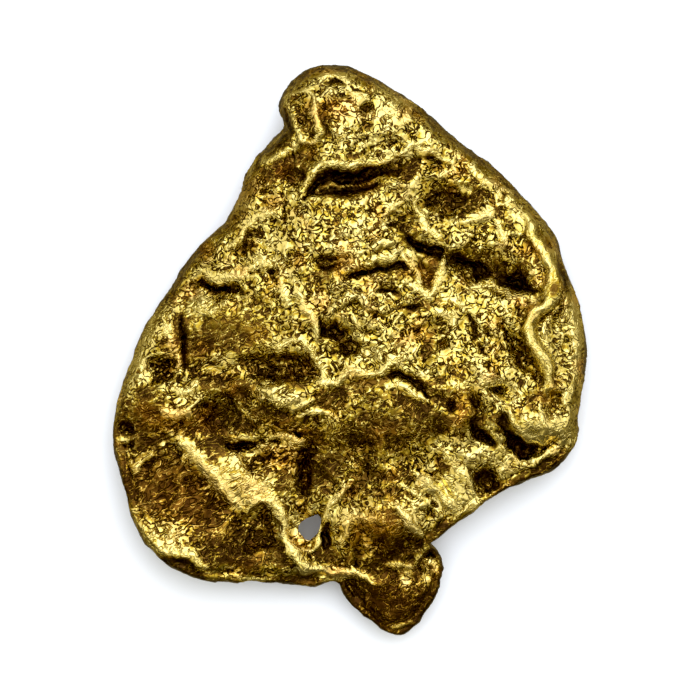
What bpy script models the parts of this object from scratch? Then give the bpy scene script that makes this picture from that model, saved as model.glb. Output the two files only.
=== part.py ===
"""Placer gold nugget: one water-worn piece of native gold, modelled as one closed solid.

The nugget lies flat on z = 0. X runs to the right and Y runs from the tail to the knob, both
centred on the bounding box. Two square grids are bent onto the outline, one as the upper face
and one as the underside, and are welded along the rim. Landforms then raise or lower each face.
"""
import bpy
import bmesh
import numpy as np

MM = 0.001

# Driving dimensions, in millimetres
WIDTH = 13.3
LENGTH = 16.0
THICKNESS = 3.0
RIM_LEVEL = 1.35          # height of the rim's widest line above the resting plane
RIM_SWAY = 0.14           # how far that line rises and falls round the nugget
RIM_WAVES = ((1.0, 0.62, 0.35, 0.8), (0.6, -0.9, 0.5, 0.0))   # share, turn along X and Y, phase
EDGE_RADIUS = 0.80        # the worn edge rounds over within this distance of the outline
EDGE_RISE = 0.84          # height that the rounded edge gains above the rim
EDGE_DROP = 0.80          # depth that it gains below the rim
THIN_TO_TAIL = 0.26       # share by which both shrink at the lower left, and grow at the upper right
SLANT = 0.5               # that change runs along Y plus this share of X
SLANT_SPAN = 6            # and is mostly done this far from the middle
CROWN_RISE = 0.66         # further rise of the upper face towards the middle
BELLY_DROP = 0.40         # further drop of the underside towards the middle
CROWN_POWER = 3           # how late on the way to the rim both fall away
BELL_POWER = 1.4          # how flat-topped the knolls and hollows are; 1 is a plain bell
SHORE = 0.40              # landforms fade out within this distance of the outline
LEAST_WALL = 0.35         # thinnest metal left between a hollow and the underside

# Mesh
CELLS = 44                # cells along each side of a face's grid, an even number
CURVE_STEPS = 8           # points between two outline or path points
RIM_CROWDING = 0.8        # how strongly the grid's rings gather at the rim
SQUARE_ON = 0.7           # how far each ray turns to meet the outline square-on
TURN_POWER = 8            # how late on its way a ray makes that turn
TURN_SPAN = 31            # outline points over which that turn is evened out
WELD = 1e-6               # metres
SHORTEST = 1e-12          # square of the shortest run of a path, so that none divides by zero

# The plan outline, clockwise from the lower right shoulder, and the point its rays run from
OUTLINE = (
    (6.33, -2.72), (5.68, -3.42), (5.03, -3.63), (4.57, -3.84), (3.64, -4.40), (3.04, -4.88),
    (2.43, -5.33), (2.29, -5.45), (2.49, -5.66), (2.61, -5.91), (2.57, -6.44), (2.43, -6.86),
    (1.97, -7.65), (1.55, -8.00), (0.99, -7.86), (0.21, -7.30), (-0.13, -6.86), (-0.39, -6.53),
    (-1.07, -6.64), (-2.14, -6.51), (-3.65, -6.48), (-4.63, -6.29), (-5.61, -5.54),
    (-6.04, -4.80), (-6.28, -3.97), (-6.52, -2.91), (-6.61, -2.04), (-6.46, -1.38),
    (-6.09, -0.33), (-5.59, 0.85), (-4.84, 1.99), (-4.26, 2.84), (-3.49, 3.53), (-3.07, 4.31),
    (-2.76, 5.12), (-2.29, 5.77), (-1.81, 6.26), (-1.93, 6.86), (-1.61, 7.48), (-0.97, 7.91),
    (-0.01, 7.93), (0.89, 7.52), (1.89, 6.84), (2.96, 5.94), (4.13, 5.05), (4.91, 4.21),
    (5.66, 3.37), (6.03, 2.44), (6.45, 1.21), (6.65, 0.03), (6.50, -1.29), (6.44, -2.13),
)
HEART = (-0.5, 0.4)

# The small natural hole near the tail, clockwise
HOLE = (
    (-0.84, -4.56), (-0.77, -4.81), (-0.88, -5.16), (-1.11, -5.37), (-1.33, -5.28),
    (-1.39, -5.03), (-1.31, -4.77), (-1.10, -4.62),
)

# Crests and creases of the upper face, each as height, half-width and the path it follows
CRESTS = {
    "knob_rim": (0.16, 0.50, ((-1.67, 6.97), (-1.25, 7.39), (-0.55, 7.59), (0.07, 7.42), (0.57, 7.03))),
    "crease_lip": (0.20, 0.44, ((-1.39, 4.84), (-0.88, 5.15), (0.01, 5.26), (0.99, 5.24), (1.55, 5.38))),
    "right_roll": (0.36, 0.46, (
        (5.00, 3.75), (5.33, 2.91), (5.70, 2.21), (5.61, 1.60), (5.14, 0.87), (5.11, 0.25),
        (5.47, -0.45), (5.56, -1.29))),
    "right_edge": (0.14, 0.44, ((6.23, 1.60), (6.43, 0.67), (6.48, -0.17), (6.26, -0.87))),
    "upper_spur": (0.20, 0.48, ((2.62, 2.44), (3.04, 2.97), (3.60, 3.44), (3.99, 3.89))),
    "left_spine": (0.16, 0.44, ((-4.49, 1.15), (-4.44, 0.39), (-4.38, -0.45))),
    "leaf_lip": (0.18, 0.44, ((-4.19, 2.10), (-3.57, 2.07), (-2.93, 2.21), (-2.45, 2.44))),
    "lower_ridge": (0.38, 0.50, (
        (-4.66, -2.35), (-4.47, -2.83), (-4.05, -3.33), (-3.49, -3.95), (-2.98, -4.31))),
    "hole_collar": (0.36, 0.45, (
        (-2.37, -4.23), (-1.92, -4.37), (-1.95, -4.93), (-1.72, -5.52), (-1.39, -5.71),
        (-1.05, -5.52), (-0.77, -5.21), (-0.60, -4.65), (-0.55, -4.40))),
    "tail_lip": (0.30, 0.46, ((-1.44, -5.91), (-0.83, -6.22), (-0.13, -6.27), (0.71, -6.47))),
    "low_left_rim": (0.26, 0.50, (
        (-6.09, -4.37), (-5.73, -5.12), (-5.17, -5.68), (-4.33, -5.96), (-3.49, -6.38))),
    "mid_lip": (0.20, 0.46, ((-2.56, -1.23), (-1.81, -1.54), (-1.16, -1.43))),
    "centre_arch": (0.15, 0.44, ((-0.55, 1.06), (-0.13, 1.46), (0.52, 1.48), (1.19, 1.23))),
    "main_crease": (-0.46, 0.45, (
        (-1.16, 4.40), (-0.77, 4.73), (-0.13, 4.82), (0.71, 4.84), (1.41, 5.01), (1.92, 5.21))),
    "right_dent": (-0.42, 0.46, ((3.04, 2.44), (3.65, 2.21), (4.35, 1.85), (5.05, 1.65))),
    "roll_valley": (-0.44, 0.46, ((4.30, 0.62), (4.63, 0.06), (5.00, -0.45), (5.36, -0.87))),
    "leaf_slot": (-0.34, 0.42, ((-4.33, 1.82), (-3.77, 1.79), (-2.98, 1.57))),
    "left_slit": (-0.28, 0.42, ((-3.57, -2.69), (-2.45, -2.63))),
    "centre_slot": (-0.30, 0.42, ((-0.04, 2.02), (0.71, 2.24), (1.55, 2.32))),
    "dark_channel": (-0.30, 0.44, ((1.64, 3.05), (2.11, 2.88), (2.67, 2.72))),
    "hill_crease": (-0.42, 0.45, (
        (4.21, -1.20), (4.38, -1.76), (4.63, -2.27), (5.05, -2.58), (5.84, -2.46))),
    "lower_trough": (-0.30, 0.60, ((-6.09, -3.39), (-4.89, -3.89), (-3.77, -4.45), (-2.79, -4.93))),
    "stem_hollow": (-0.34, 0.42, ((-1.05, -2.77), (-1.27, -3.39), (-1.22, -4.00))),
    "hill_gully": (-0.30, 0.44, ((3.60, -1.29), (3.82, -1.99), (4.16, -2.60))),
}

# Knolls and hollows of the upper face, each as height, centre, half-axes and turn in degrees
KNOLLS = {
    "knob": (0.30, (-0.13, 6.64), (1.62, 1.12), -20),
    "north_hollow": (-0.40, (2.76, 4.23), (0.84, 0.45), -8),
    "edge_basin": (-0.26, (5.92, 0.39), (0.34, 1.01), -8),
    "west_hollow": (-0.34, (-1.92, -0.50), (0.95, 0.48), -8),
    "west_pit": (-0.42, (-3.49, -1.99), (0.76, 0.56), 0),
    "west_notch": (-0.30, (-5.36, -0.67), (0.62, 0.36), 0),
    "low_hollow": (-0.30, (-2.62, -5.29), (0.62, 0.78), 0),
    "centre_pit": (-0.28, (-0.43, 2.55), (0.53, 0.31), 0),
    "south_pits": (-0.32, (-0.21, 0.25), (0.45, 0.48), 30),
    "edge_pit": (-0.36, (3.82, -3.56), (0.39, 0.48), 20),
    "hill": (0.30, (5.11, -1.99), (0.62, 0.39), 15),
    "mid_mound": (0.26, (-1.75, -1.23), (0.78, 0.36), 8),
    "brown_dome": (0.34, (1.02, -4.79), (1.06, 0.73), 0),
    "south_knoll": (0.20, (2.67, -3.67), (0.95, 0.73), -50),
    "hole_funnel": (-0.75, (-1.13, -4.90), (0.73, 0.84), 25),
}

# Brinks where the upper face steps down towards the tail, as drop, half-width and level line
BRINKS = {
    "plateau": (0.30, 0.55, (
        (-7.0, -2.0), (-4.0, -1.9), (-1.4, -2.2), (1.0, -2.5), (4.0, -2.3), (7.0, -2.6))),
    "tail": (0.34, 0.35, ((-0.6, -6.9), (-0.2, -6.4), (1.2, -6.0), (2.6, -5.7))),
}

# Dents of the underside, each as height, centre, half-axes and turn, and the swells that it
# rests on, worn flat at the resting plane, each as depth, centre and half-axes
UNDER_DENTS = {
    "upper": (0.30, (0.4, 5.6), (1.5, 0.8), 20),
    "middle": (0.34, (0.4, 0.2), (1.6, 1.2), -30),
    "left": (0.30, (-4.6, -0.4), (0.8, 1.2), 10),
    "right": (0.26, (4.9, -1.6), (0.7, 0.9), 0),
    "below_hole": (0.75, (-1.10, -4.95), (0.85, 0.85), 0),
}
PADS = {
    "upper_left": (0.40, (-2.3, 3.3), (1.15, 0.95)),
    "upper_right": (0.24, (3.4, 2.9), (1.10, 1.05)),
    "lower_left": (0.56, (-3.9, -3.7), (1.25, 1.10)),
    "lower_right": (0.58, (1.7, -4.6), (1.00, 1.05)),
}

GOLD_COLOUR = (0.62, 0.42, 0.09, 1.0)
GOLD_ROUGHNESS = 0.30


def smooth_curve(points, closed=False):
    """Points along a Catmull-Rom curve through the given ones, with CURVE_STEPS to each span."""
    points = np.asarray(points, dtype=float)
    if closed:
        padded = np.vstack([points[-1:], points, points[:2]])
    else:
        first = 2 * points[0] - points[1]
        last = 2 * points[-1] - points[-2]
        padded = np.vstack([first, points, last])
    before, start, end, after = padded[:-3], padded[1:-2], padded[2:-1], padded[3:]
    t = np.linspace(0, 1, CURVE_STEPS, endpoint=False)[None, :, None]
    before, start, end, after = (p[:, None, :] for p in (before, start, end, after))
    curve = 0.5 * (2 * start + (end - before) * t
                   + (2 * before - 5 * start + 4 * end - after) * t ** 2
                   + (3 * start - before - 3 * end + after) * t ** 3)
    curve = curve.reshape(-1, 2)
    return curve if closed else np.vstack([curve, points[-1:]])


def path_distance(x, y, path):
    """Distance in plan from each place to the nearest point of a path."""
    nearest = np.full(x.shape, np.inf)
    for start, end in zip(path[:-1], path[1:]):
        run = end - start
        along = ((x - start[0]) * run[0] + (y - start[1]) * run[1]) / max(run @ run, SHORTEST)
        along = np.clip(along, 0, 1)
        gap = np.hypot(x - start[0] - along * run[0], y - start[1] - along * run[1])
        nearest = np.minimum(nearest, gap)
    return nearest


def swell(x, y, centre, half_axes, turn=0):
    """A bell shape over an ellipse: one at the centre, falling away outside its half-axes."""
    angle = np.radians(turn)
    across = (x - centre[0]) * np.cos(angle) + (y - centre[1]) * np.sin(angle)
    along = (y - centre[1]) * np.cos(angle) - (x - centre[0]) * np.sin(angle)
    reach = (across / half_axes[0]) ** 2 + (along / half_axes[1]) ** 2
    return np.exp(-reach ** BELL_POWER)


def ease(value):
    """Smooth step from 0 to 1 as the value goes from 0 to 1."""
    value = np.clip(value, 0, 1)
    return value * value * (3 - 2 * value)


def rounded(distance):
    """Quarter-round edge profile: 0 on the outline, 1 from EDGE_RADIUS inwards."""
    inner = np.clip(1 - distance / EDGE_RADIUS, 0, 1)
    return np.sqrt(1 - inner ** 2)


def bent_grid(u, v):
    """Plan places of a square grid bent onto the outline, with each place's ring from 0 to 1.

    A ring of the square goes to a shrunken copy of the outline, and the rays turn near the rim
    so that they meet the outline square-on.
    """
    loop = smooth_curve(OUTLINE[::-1], closed=True)
    heart = np.array(HEART)
    tangent = np.roll(loop, -1, axis=0) - np.roll(loop, 1, axis=0)
    normal = np.stack([tangent[:, 1], -tangent[:, 0]], axis=1)
    normal /= np.linalg.norm(normal, axis=1)[:, None]
    ray = loop - heart
    turn = SQUARE_ON * (np.linalg.norm(ray, axis=1)[:, None] * normal - ray)
    even = np.hanning(TURN_SPAN + 2)[1:-1]
    half = TURN_SPAN // 2
    turn = np.stack([np.convolve(np.r_[c[-half:], c, c[:half]], even / even.sum(), "valid")
                     for c in turn.T], axis=1)

    closed = np.vstack([loop, loop[:1]])
    arc = np.r_[0, np.cumsum(np.linalg.norm(np.diff(closed, axis=0), axis=1))]
    ring = np.maximum(np.abs(u), np.abs(v))
    safe = np.where(ring > 0, ring, 1)
    on_right = (u == ring) & (v < ring)
    on_top = (v == ring) & (u > -ring)
    on_left = (u == -ring) & (v > -ring)
    quarter = np.select([on_right, on_top, on_left],
                        [0.5 + 0.5 * v / safe, 1.5 - 0.5 * u / safe, 2.5 - 0.5 * v / safe],
                        3.5 + 0.5 * u / safe)
    place = np.mod(quarter, 4) / 4 * arc[-1]
    rim = np.stack([np.interp(place, arc, closed[:, k]) for k in (0, 1)], axis=-1)
    bend = np.stack([np.interp(place, arc, np.r_[turn[:, k], turn[:1, k]]) for k in (0, 1)], axis=-1)
    reach = (ring + RIM_CROWDING * ring ** 4 * (1 - ring))[..., None]
    plan = heart + reach * (rim - heart) - reach ** TURN_POWER * (1 - reach) * bend
    return plan[..., 0], plan[..., 1], ring, closed


def rim_height(x, y):
    """Level of the rim's widest line: a slow rise and fall across the nugget."""
    sway = sum(share * np.sin(along_x * x + along_y * y + phase)
               for share, along_x, along_y, phase in RIM_WAVES)
    return RIM_LEVEL + RIM_SWAY * sway


def stoutness(x, y):
    """Share of the full edge height: thinner at the lower left, stouter at the upper right."""
    return 1 + THIN_TO_TAIL * np.tanh((SLANT * x + y) / SLANT_SPAN)


def underside(x, y, ring, shore):
    """Height of the underside: a worn belly with dents, flat where its pads meet the plane."""
    edge = EDGE_DROP * np.sqrt(stoutness(x, y)) * rounded(shore)
    z = rim_height(x, y) - edge - BELLY_DROP * (1 - ring ** CROWN_POWER)
    inland = ease(shore / SHORE)
    for height, centre, half_axes, turn in UNDER_DENTS.values():
        z = z + inland * height * swell(x, y, centre, half_axes, turn)
    for depth, centre, half_axes in PADS.values():
        z = z - inland * depth * swell(x, y, centre, half_axes)
    return np.maximum(z, 0)


def upper_face(x, y, ring, shore):
    """Height of the upper face: a rounded edge and a low crown, with every landform added."""
    edge = EDGE_RISE * stoutness(x, y) * rounded(shore)
    z = rim_height(x, y) + edge + CROWN_RISE * (1 - ring ** CROWN_POWER)
    inland = ease(shore / SHORE)
    for height, half_width, path in CRESTS.values():
        gap = path_distance(x, y, smooth_curve(path))
        z = z + inland * height * np.exp(-(gap / half_width) ** 2)
    for height, centre, half_axes, turn in KNOLLS.values():
        z = z + inland * height * swell(x, y, centre, half_axes, turn)
    for drop, half_width, line in BRINKS.values():
        level = np.interp(x, *zip(*line))
        z = z - inland * drop * 0.5 * (1 + np.tanh((level - y) / half_width))
    wall = LEAST_WALL * inland
    return np.maximum(z, underside(x, y, ring, shore) + wall)


def add_face(bm, height, facing_up):
    """Adds one square grid to the mesh and bends it into a face of the nugget."""
    made = bmesh.ops.create_grid(bm, x_segments=CELLS, y_segments=CELLS, size=1.0)
    flat = np.array([vert.co[:2] for vert in made["verts"]], dtype=float)
    u, v = (np.rint((flat + 1) * CELLS / 2) * 2 / CELLS - 1).T
    x, y, ring, outline = bent_grid(u, v)
    shore = np.where(ring < 1, path_distance(x, y, outline), 0)
    z = height(x, y, ring, shore)
    for vert, place in zip(made["verts"], zip(x, y, z)):
        vert.co = place
    faces = {face for vert in made["verts"] for face in vert.link_faces}
    if not facing_up:
        bmesh.ops.reverse_faces(bm, faces=list(faces))


def fit_to_size(bm):
    """Centres the plan on the origin and stretches the mesh to the driving dimensions."""
    places = np.array([vert.co[:] for vert in bm.verts], dtype=float)
    low, high = places.min(axis=0), places.max(axis=0)
    scale = np.array([WIDTH, LENGTH, THICKNESS]) / (high - low)
    shift = np.array([(low[0] + high[0]) / 2, (low[1] + high[1]) / 2, low[2]])
    for vert, place in zip(bm.verts, (places - shift) * scale * MM):
        vert.co = place
    return scale, shift


def gold():
    """Native gold, worn to a satin shine."""
    material = bpy.data.materials.new("native_gold")
    material.use_nodes = True
    shader = material.node_tree.nodes["Principled BSDF"]
    shader.inputs["Base Color"].default_value = GOLD_COLOUR
    shader.inputs["Metallic"].default_value = 1.0
    shader.inputs["Roughness"].default_value = GOLD_ROUGHNESS
    return material


def add_object(name, bm):
    """Puts a finished mesh into the scene as a named object."""
    mesh = bpy.data.meshes.new(name)
    bm.to_mesh(mesh)
    bm.free()
    piece = bpy.data.objects.new(name, mesh)
    bpy.context.collection.objects.link(piece)
    return piece


def nugget():
    """The nugget without its hole, and the scale and shift that fitted it to size."""
    bm = bmesh.new()
    add_face(bm, upper_face, facing_up=True)
    add_face(bm, underside, facing_up=False)
    fitted = fit_to_size(bm)
    bmesh.ops.remove_doubles(bm, verts=bm.verts, dist=WELD)
    bmesh.ops.triangulate(bm, faces=bm.faces)
    piece = add_object("nugget", bm)
    piece.data.shade_smooth()
    piece.data.materials.append(gold())
    return piece, fitted


def hole_cutter(scale, shift):
    """A prism of the hole's outline, from below the nugget to above it."""
    bm = bmesh.new()
    outline = (np.array(HOLE[::-1]) - shift[:2]) * scale[:2] * MM
    floor = bm.faces.new([bm.verts.new((x, y, -THICKNESS * MM)) for x, y in outline])
    raised = bmesh.ops.extrude_face_region(bm, geom=[floor])["geom"]
    lifted = [item for item in raised if isinstance(item, bmesh.types.BMVert)]
    bmesh.ops.translate(bm, verts=lifted, vec=(0, 0, 3 * THICKNESS * MM))
    bmesh.ops.recalc_face_normals(bm, faces=bm.faces)
    cutter = add_object("hole_cutter", bm)
    cutter.hide_render = True
    cutter.display_type = "WIRE"
    return cutter


def main():
    """Clears the scene and builds the nugget with its hole."""
    for old in list(bpy.data.objects):
        bpy.data.objects.remove(old, do_unlink=True)
    piece, fitted = nugget()
    cut = piece.modifiers.new("natural_hole", "BOOLEAN")
    cut.operation = "DIFFERENCE"
    cut.solver = "EXACT"
    cut.object = hole_cutter(*fitted)


main()
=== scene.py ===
"""Placer gold nugget: the worn, pitted surface of one piece of native gold, and its stage.

The nugget is one closed surface. Two square grids are bent onto its outline, the upper face
fine and the underside half as fine, and share the points of the rim and of the hole. Landforms
raise and lower the faces, and then grain, worm-like crests and wrinkles push every point along
its normal.
"""

import bpy
import numpy as np
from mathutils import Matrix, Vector


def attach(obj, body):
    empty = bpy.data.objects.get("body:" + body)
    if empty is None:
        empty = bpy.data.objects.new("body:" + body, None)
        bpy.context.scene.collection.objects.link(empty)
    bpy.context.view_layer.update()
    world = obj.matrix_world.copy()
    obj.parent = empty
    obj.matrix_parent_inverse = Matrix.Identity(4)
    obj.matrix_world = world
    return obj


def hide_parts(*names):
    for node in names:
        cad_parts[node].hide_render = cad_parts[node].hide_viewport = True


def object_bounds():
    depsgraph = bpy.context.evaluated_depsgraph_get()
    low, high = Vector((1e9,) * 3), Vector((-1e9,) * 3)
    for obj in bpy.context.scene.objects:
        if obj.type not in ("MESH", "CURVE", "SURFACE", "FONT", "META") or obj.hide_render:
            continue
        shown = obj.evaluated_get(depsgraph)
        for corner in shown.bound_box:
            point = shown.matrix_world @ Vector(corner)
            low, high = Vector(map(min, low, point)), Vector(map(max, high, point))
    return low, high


bl_info = {
    "name": "Gold nugget",
    "version": (1, 0, 0),
    "blender": (4, 5, 0),
    "location": "View3D > Sidebar > Nugget",
    "description": "Models a water-worn gold nugget and a plain stage for it",
    "category": "Add Mesh",
}

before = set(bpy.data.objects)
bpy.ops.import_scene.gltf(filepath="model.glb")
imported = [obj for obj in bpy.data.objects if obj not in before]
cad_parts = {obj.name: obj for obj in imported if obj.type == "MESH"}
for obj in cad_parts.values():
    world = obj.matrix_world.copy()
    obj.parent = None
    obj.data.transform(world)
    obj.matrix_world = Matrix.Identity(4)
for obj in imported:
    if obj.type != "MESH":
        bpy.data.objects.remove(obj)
CAD_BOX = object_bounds()
MM = 0.001

# Mesh of the nugget
FINE_CELLS = 280          # cells along each side of the upper face's grid; half for the underside
HOLE_CELLS = 6            # the hole takes out this many cells each way from its middle point
HOLE_SPREAD = 5.0         # rings of cells out to this many times that size bend towards the hole
CURVE_STEPS = 8           # points between two outline or path points
RIM_CROWDING = 0.75       # how strongly the grid's rings gather at the rim
CROWDING_POWER = 4        # and how late they do so
SQUARE_ON = 0.7           # how far each ray turns to meet the outline square-on
TURN_POWER = 8            # how late on its way a ray makes that turn
TURN_SPAN = 31            # outline points over which that turn is evened out

# Body of the nugget, in millimetres
RIM_LEVEL = 1.35          # height of the rim's widest line above the resting plane
RIM_SWAY = 0.14           # how far that line rises and falls round the nugget
RIM_WAVES = ((1.0, 0.62, 0.35, 0.8), (0.6, -0.9, 0.5, 0.0))   # share, turn along X and Y, phase
EDGE_RADIUS = 0.44        # the worn edge rounds over within this distance of the outline
EDGE_RISE = 0.70          # height that the rounded edge gains above the rim
EDGE_DROP = 0.80          # depth that it gains below the rim
THIN_TO_TAIL = 0.26       # the rise is this share less at the lower left, and more at the upper right
SLANT = 0.5               # that change runs along Y plus this share of X
SLANT_SPAN = 6            # and is mostly done this far from the middle; the drop changes half as much
TAIL = ((1.2, -6.9), (2.0, 1.5))   # the tail's middle point and half-axes
TAIL_THIN = 0.60          # share of its rise that the edge loses at the tail
TAIL_SINK = 0.42          # how much lower the rim lies there
CROWN_RISE = 0.66         # further rise of the upper face towards the middle
BELLY_DROP = 0.40         # further drop of the underside towards the middle
CROWN_POWER = 3           # how late on the way to the rim both fall away
SHORE = 0.30              # landforms fade out within this distance of the outline
LEAST_WALL = 0.30         # thinnest metal left between a hollow and the underside
HOLE_LIP = 1.62           # height of the thin lip round the hole
HOLE_BEVEL = 0.16         # the upper face rounds over to that lip within this distance
HOLE_BOWL = 0.60          # and the underside rises to it within this distance

# The plan outline, clockwise from the lower right shoulder, and the point its rays run from
OUTLINE = (
    (6.33, -2.72), (5.68, -3.42), (5.03, -3.63), (4.57, -3.84), (3.64, -4.40), (3.04, -4.88),
    (2.43, -5.33), (2.29, -5.45), (2.49, -5.66), (2.61, -5.91), (2.57, -6.44), (2.43, -6.86),
    (1.97, -7.65), (1.55, -8.00), (0.99, -7.86), (0.21, -7.30), (-0.13, -6.86), (-0.39, -6.53),
    (-1.07, -6.64), (-2.14, -6.51), (-3.65, -6.48), (-4.63, -6.29), (-5.61, -5.54),
    (-6.04, -4.80), (-6.28, -3.97), (-6.52, -2.91), (-6.61, -2.04), (-6.46, -1.38),
    (-6.09, -0.33), (-5.59, 0.85), (-4.84, 1.99), (-4.26, 2.84), (-3.49, 3.53), (-3.07, 4.31),
    (-2.76, 5.12), (-2.29, 5.77), (-1.81, 6.26), (-1.93, 6.86), (-1.61, 7.48), (-0.97, 7.91),
    (-0.01, 7.93), (0.89, 7.52), (1.89, 6.84), (2.96, 5.94), (4.13, 5.05), (4.91, 4.21),
    (5.66, 3.37), (6.03, 2.44), (6.45, 1.21), (6.65, 0.03), (6.50, -1.29), (6.44, -2.13),
)
HEART = (-0.5, 0.4)

# The small natural hole near the tail, clockwise
HOLE = (
    (-0.84, -4.56), (-0.77, -4.81), (-0.88, -5.16), (-1.11, -5.37), (-1.33, -5.28),
    (-1.39, -5.03), (-1.26, -4.80), (-1.06, -4.64),
)

# Brinks where the upper face steps down towards the tail, as drop, half-width and level line
BRINKS = {
    "plateau": (0.38, 0.34, (
        (-7.0, -2.0), (-4.0, -1.9), (-1.4, -2.2), (1.0, -2.5), (4.0, -2.3), (7.0, -2.6))),
    "tail": (0.08, 0.34, ((-0.6, -6.9), (-0.2, -6.4), (1.2, -6.0), (2.6, -5.7))),
}

# Dents of the underside, each as height, centre, half-axes and turn, and the swells that it
# rests on, worn flat at the resting plane, each as depth, centre and half-axes
UNDER_DENTS = {
    "upper": (0.30, (0.4, 5.6), (1.5, 0.8), 20),
    "middle": (0.34, (0.4, 0.2), (1.6, 1.2), -30),
    "left": (0.30, (-4.6, -0.4), (0.8, 1.2), 10),
    "right": (0.26, (4.9, -1.6), (0.7, 0.9), 0),
    "below_hole": (0.40, (-1.10, -4.95), (1.00, 1.00), 0),
}
PADS = {
    "upper_left": (0.40, (-2.3, 3.3), (1.15, 0.95)),
    "upper_right": (0.24, (3.4, 2.9), (1.10, 1.05)),
    "lower_left": (0.56, (-3.9, -3.7), (1.25, 1.10)),
    "lower_right": (0.58, (1.7, -4.6), (1.00, 1.05)),
}

# How landforms are drawn
BELL_POWER = 1.4          # a soft ellipse falls off by its squared distance to this power
TAPER = (0.45, 0.25)      # shares of its width and height that a path's landform keeps at its ends
PATH_REACH = 3.0          # half-widths out to which a path's landform is worked out
WANDER = ((0.15, 0.90), (0.09, 0.32))   # push and size of two noises that make outlines ragged
LIP_WIDTH = 0.95          # share of a lip's stated half-width
LIP_HEIGHT = 0.85         # and of its stated height

# Texture that stands on the landforms, in millimetres
LUMP_SIZE = 1.1           # soft lumps lie everywhere
LUMP_HEIGHT = 0.035
NETWORK_SIZE = 1.1        # size of the meshes in a network of low crests
NETWORK_HEIGHT = 0.06
NETWORK_WARP = (0.25, 0.8)    # how far and how slowly that network meanders
GRAIN_SIZE = 0.30         # the blobs of the coarse grain lie about half of this apart
GRAIN_HEIGHT = 0.042
GRAIN_WARP = (0.8, 1.6)   # how far and how slowly blobs are pushed about, in their own size
GRAIN_MIX = (0.45, 0.45, 0.20)   # shares of coarse grain, of fine grain and of grit
FINE_SIZE = 0.15          # the blobs of the fine grain lie about half of this apart
GRAIN_GRIT_SIZE = 0.09    # size of the grit among them
GRAIN_WORMS = 0.7         # worm-like crests among the coarse grain
WORM_SIZE = 0.42          # about twice the distance between such crests
GRAIN_PATCHES = (1.6, 1.1, 0.35, 0.85)   # its patches: size, contrast, least share, and the rest
VALLEY_LEVEL = 0.35       # coarse grain lower than this is a valley
BILLOW_TOP = 1.2          # blobs are cut off flat at this height
WORM_SLOPE = 3.2          # how steeply blobs and worm-like crests rise
WORM_WARP = (0.45, 1.3)   # how far and how slowly such crests meander, in their own size
WORM_FLOOR = -0.6         # how low the ground between them lies
FOLD_HEIGHT = 0.030       # wrinkles, where the metal is folded
FOLD_STRETCH = (0.24, 1.0, 0.6)  # their noise is drawn out along the first of these directions
FOLD_TURN = np.array([[0.91, -0.42, 0.0], [0.42, 0.91, 0.0], [0.0, 0.0, 1.0]])
FOLD_SIZES = (0.165, 0.11)   # sizes across the wrinkles and across the finer ones on them
FOLD_MIX = (0.7, 0.5)     # and the shares of the two
FOLD_CALM = 0.75          # share of the grain that wrinkling takes away
FOLD_POLISH = 0.6         # share of the wrinkles that polish takes away
STEP_HEIGHT = 0.015       # ragged steps along the worn outer band
STEP_WIDTH = 0.17         # from one step to the next
STEP_BAND = 0.55          # they fade out within this distance of the outline
STEP_START = 0.05         # and fade in within this one
STEP_RAG = (0.14, 0.9)    # how far and how slowly the steps stray
RIM_POLISH = (0.45, 0.15, 0.30)  # polish of that band, how wide it is, and the fade inside it
CREST_POLISH = 0.70       # polish of the lips
UNDER_TEXTURE = 0.7       # share of the texture on the underside

# Noise: what brings its extremes to about 1, and shifts that keep its layers and axes apart
NOISE_GAIN = 1.6
LAYER_SHIFT = 17.3
AXIS_SHIFT = 31.7
WARP_SEED = 50

# The numbers that hash a lattice corner's place and a seed into 32 evenly mixed bits
HASH_AXES = np.array([374761393, 668265263, 2147483647])
HASH_SEED = 1274126177
HASH_ROUNDS = ((13, 1103515245), (16, 2654435769))   # bits to shift by, and the factor after that
HASH_BITS = 0xFFFFFFFF
HALF_BITS = 0xFFFF

# Each noise starts from its own number
SEED = {
    "lumps": 11, "patches": 23, "network": 27, "meander": 29, "grain": 31, "worms": 37,
    "fine": 43, "grit": 57, "folds": 67, "fine_folds": 71, "outlines": 91, "steps": 103,
    "film": 111, "stain": 127,
}

# What the mesh's points tell the finish, each from 0 to 1 apart from bareness
MASKS = ("bareness", "speckled", "roughened", "iron_stain", "wrinkled")

# The finest relief, drawn by the finish as bump, in millimetres
NOISE_MIDDLE = 0.5        # middle value of a noise texture: folds are parted where it is passed
CRINKLE_SIZE = 0.23       # the finest folds lie about half of this apart
CRINKLE_DETAIL = 1.5      # finer layers of their noise, how strong those are, and how it twists
CRINKLE_BREAK = 0.6
CRINKLE_TWIST = 1.0
CRINKLE_LINE = 0.08       # how far from its middle value the noise leaves the line between folds
CRINKLE_HEIGHT = 0.023    # the folds rise this far above that line
WRINKLE_LINE = 25         # degrees by which wrinkles rise to the right
WRINKLE_STRETCH = 1.9     # and how many times longer than wide they are
GRIT_SIZE = 0.11          # soft grit on the folds
GRIT_HEIGHT = 0.015
POLISHED_GRAIN = 0.30     # share of that relief left where the metal is polished

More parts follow.
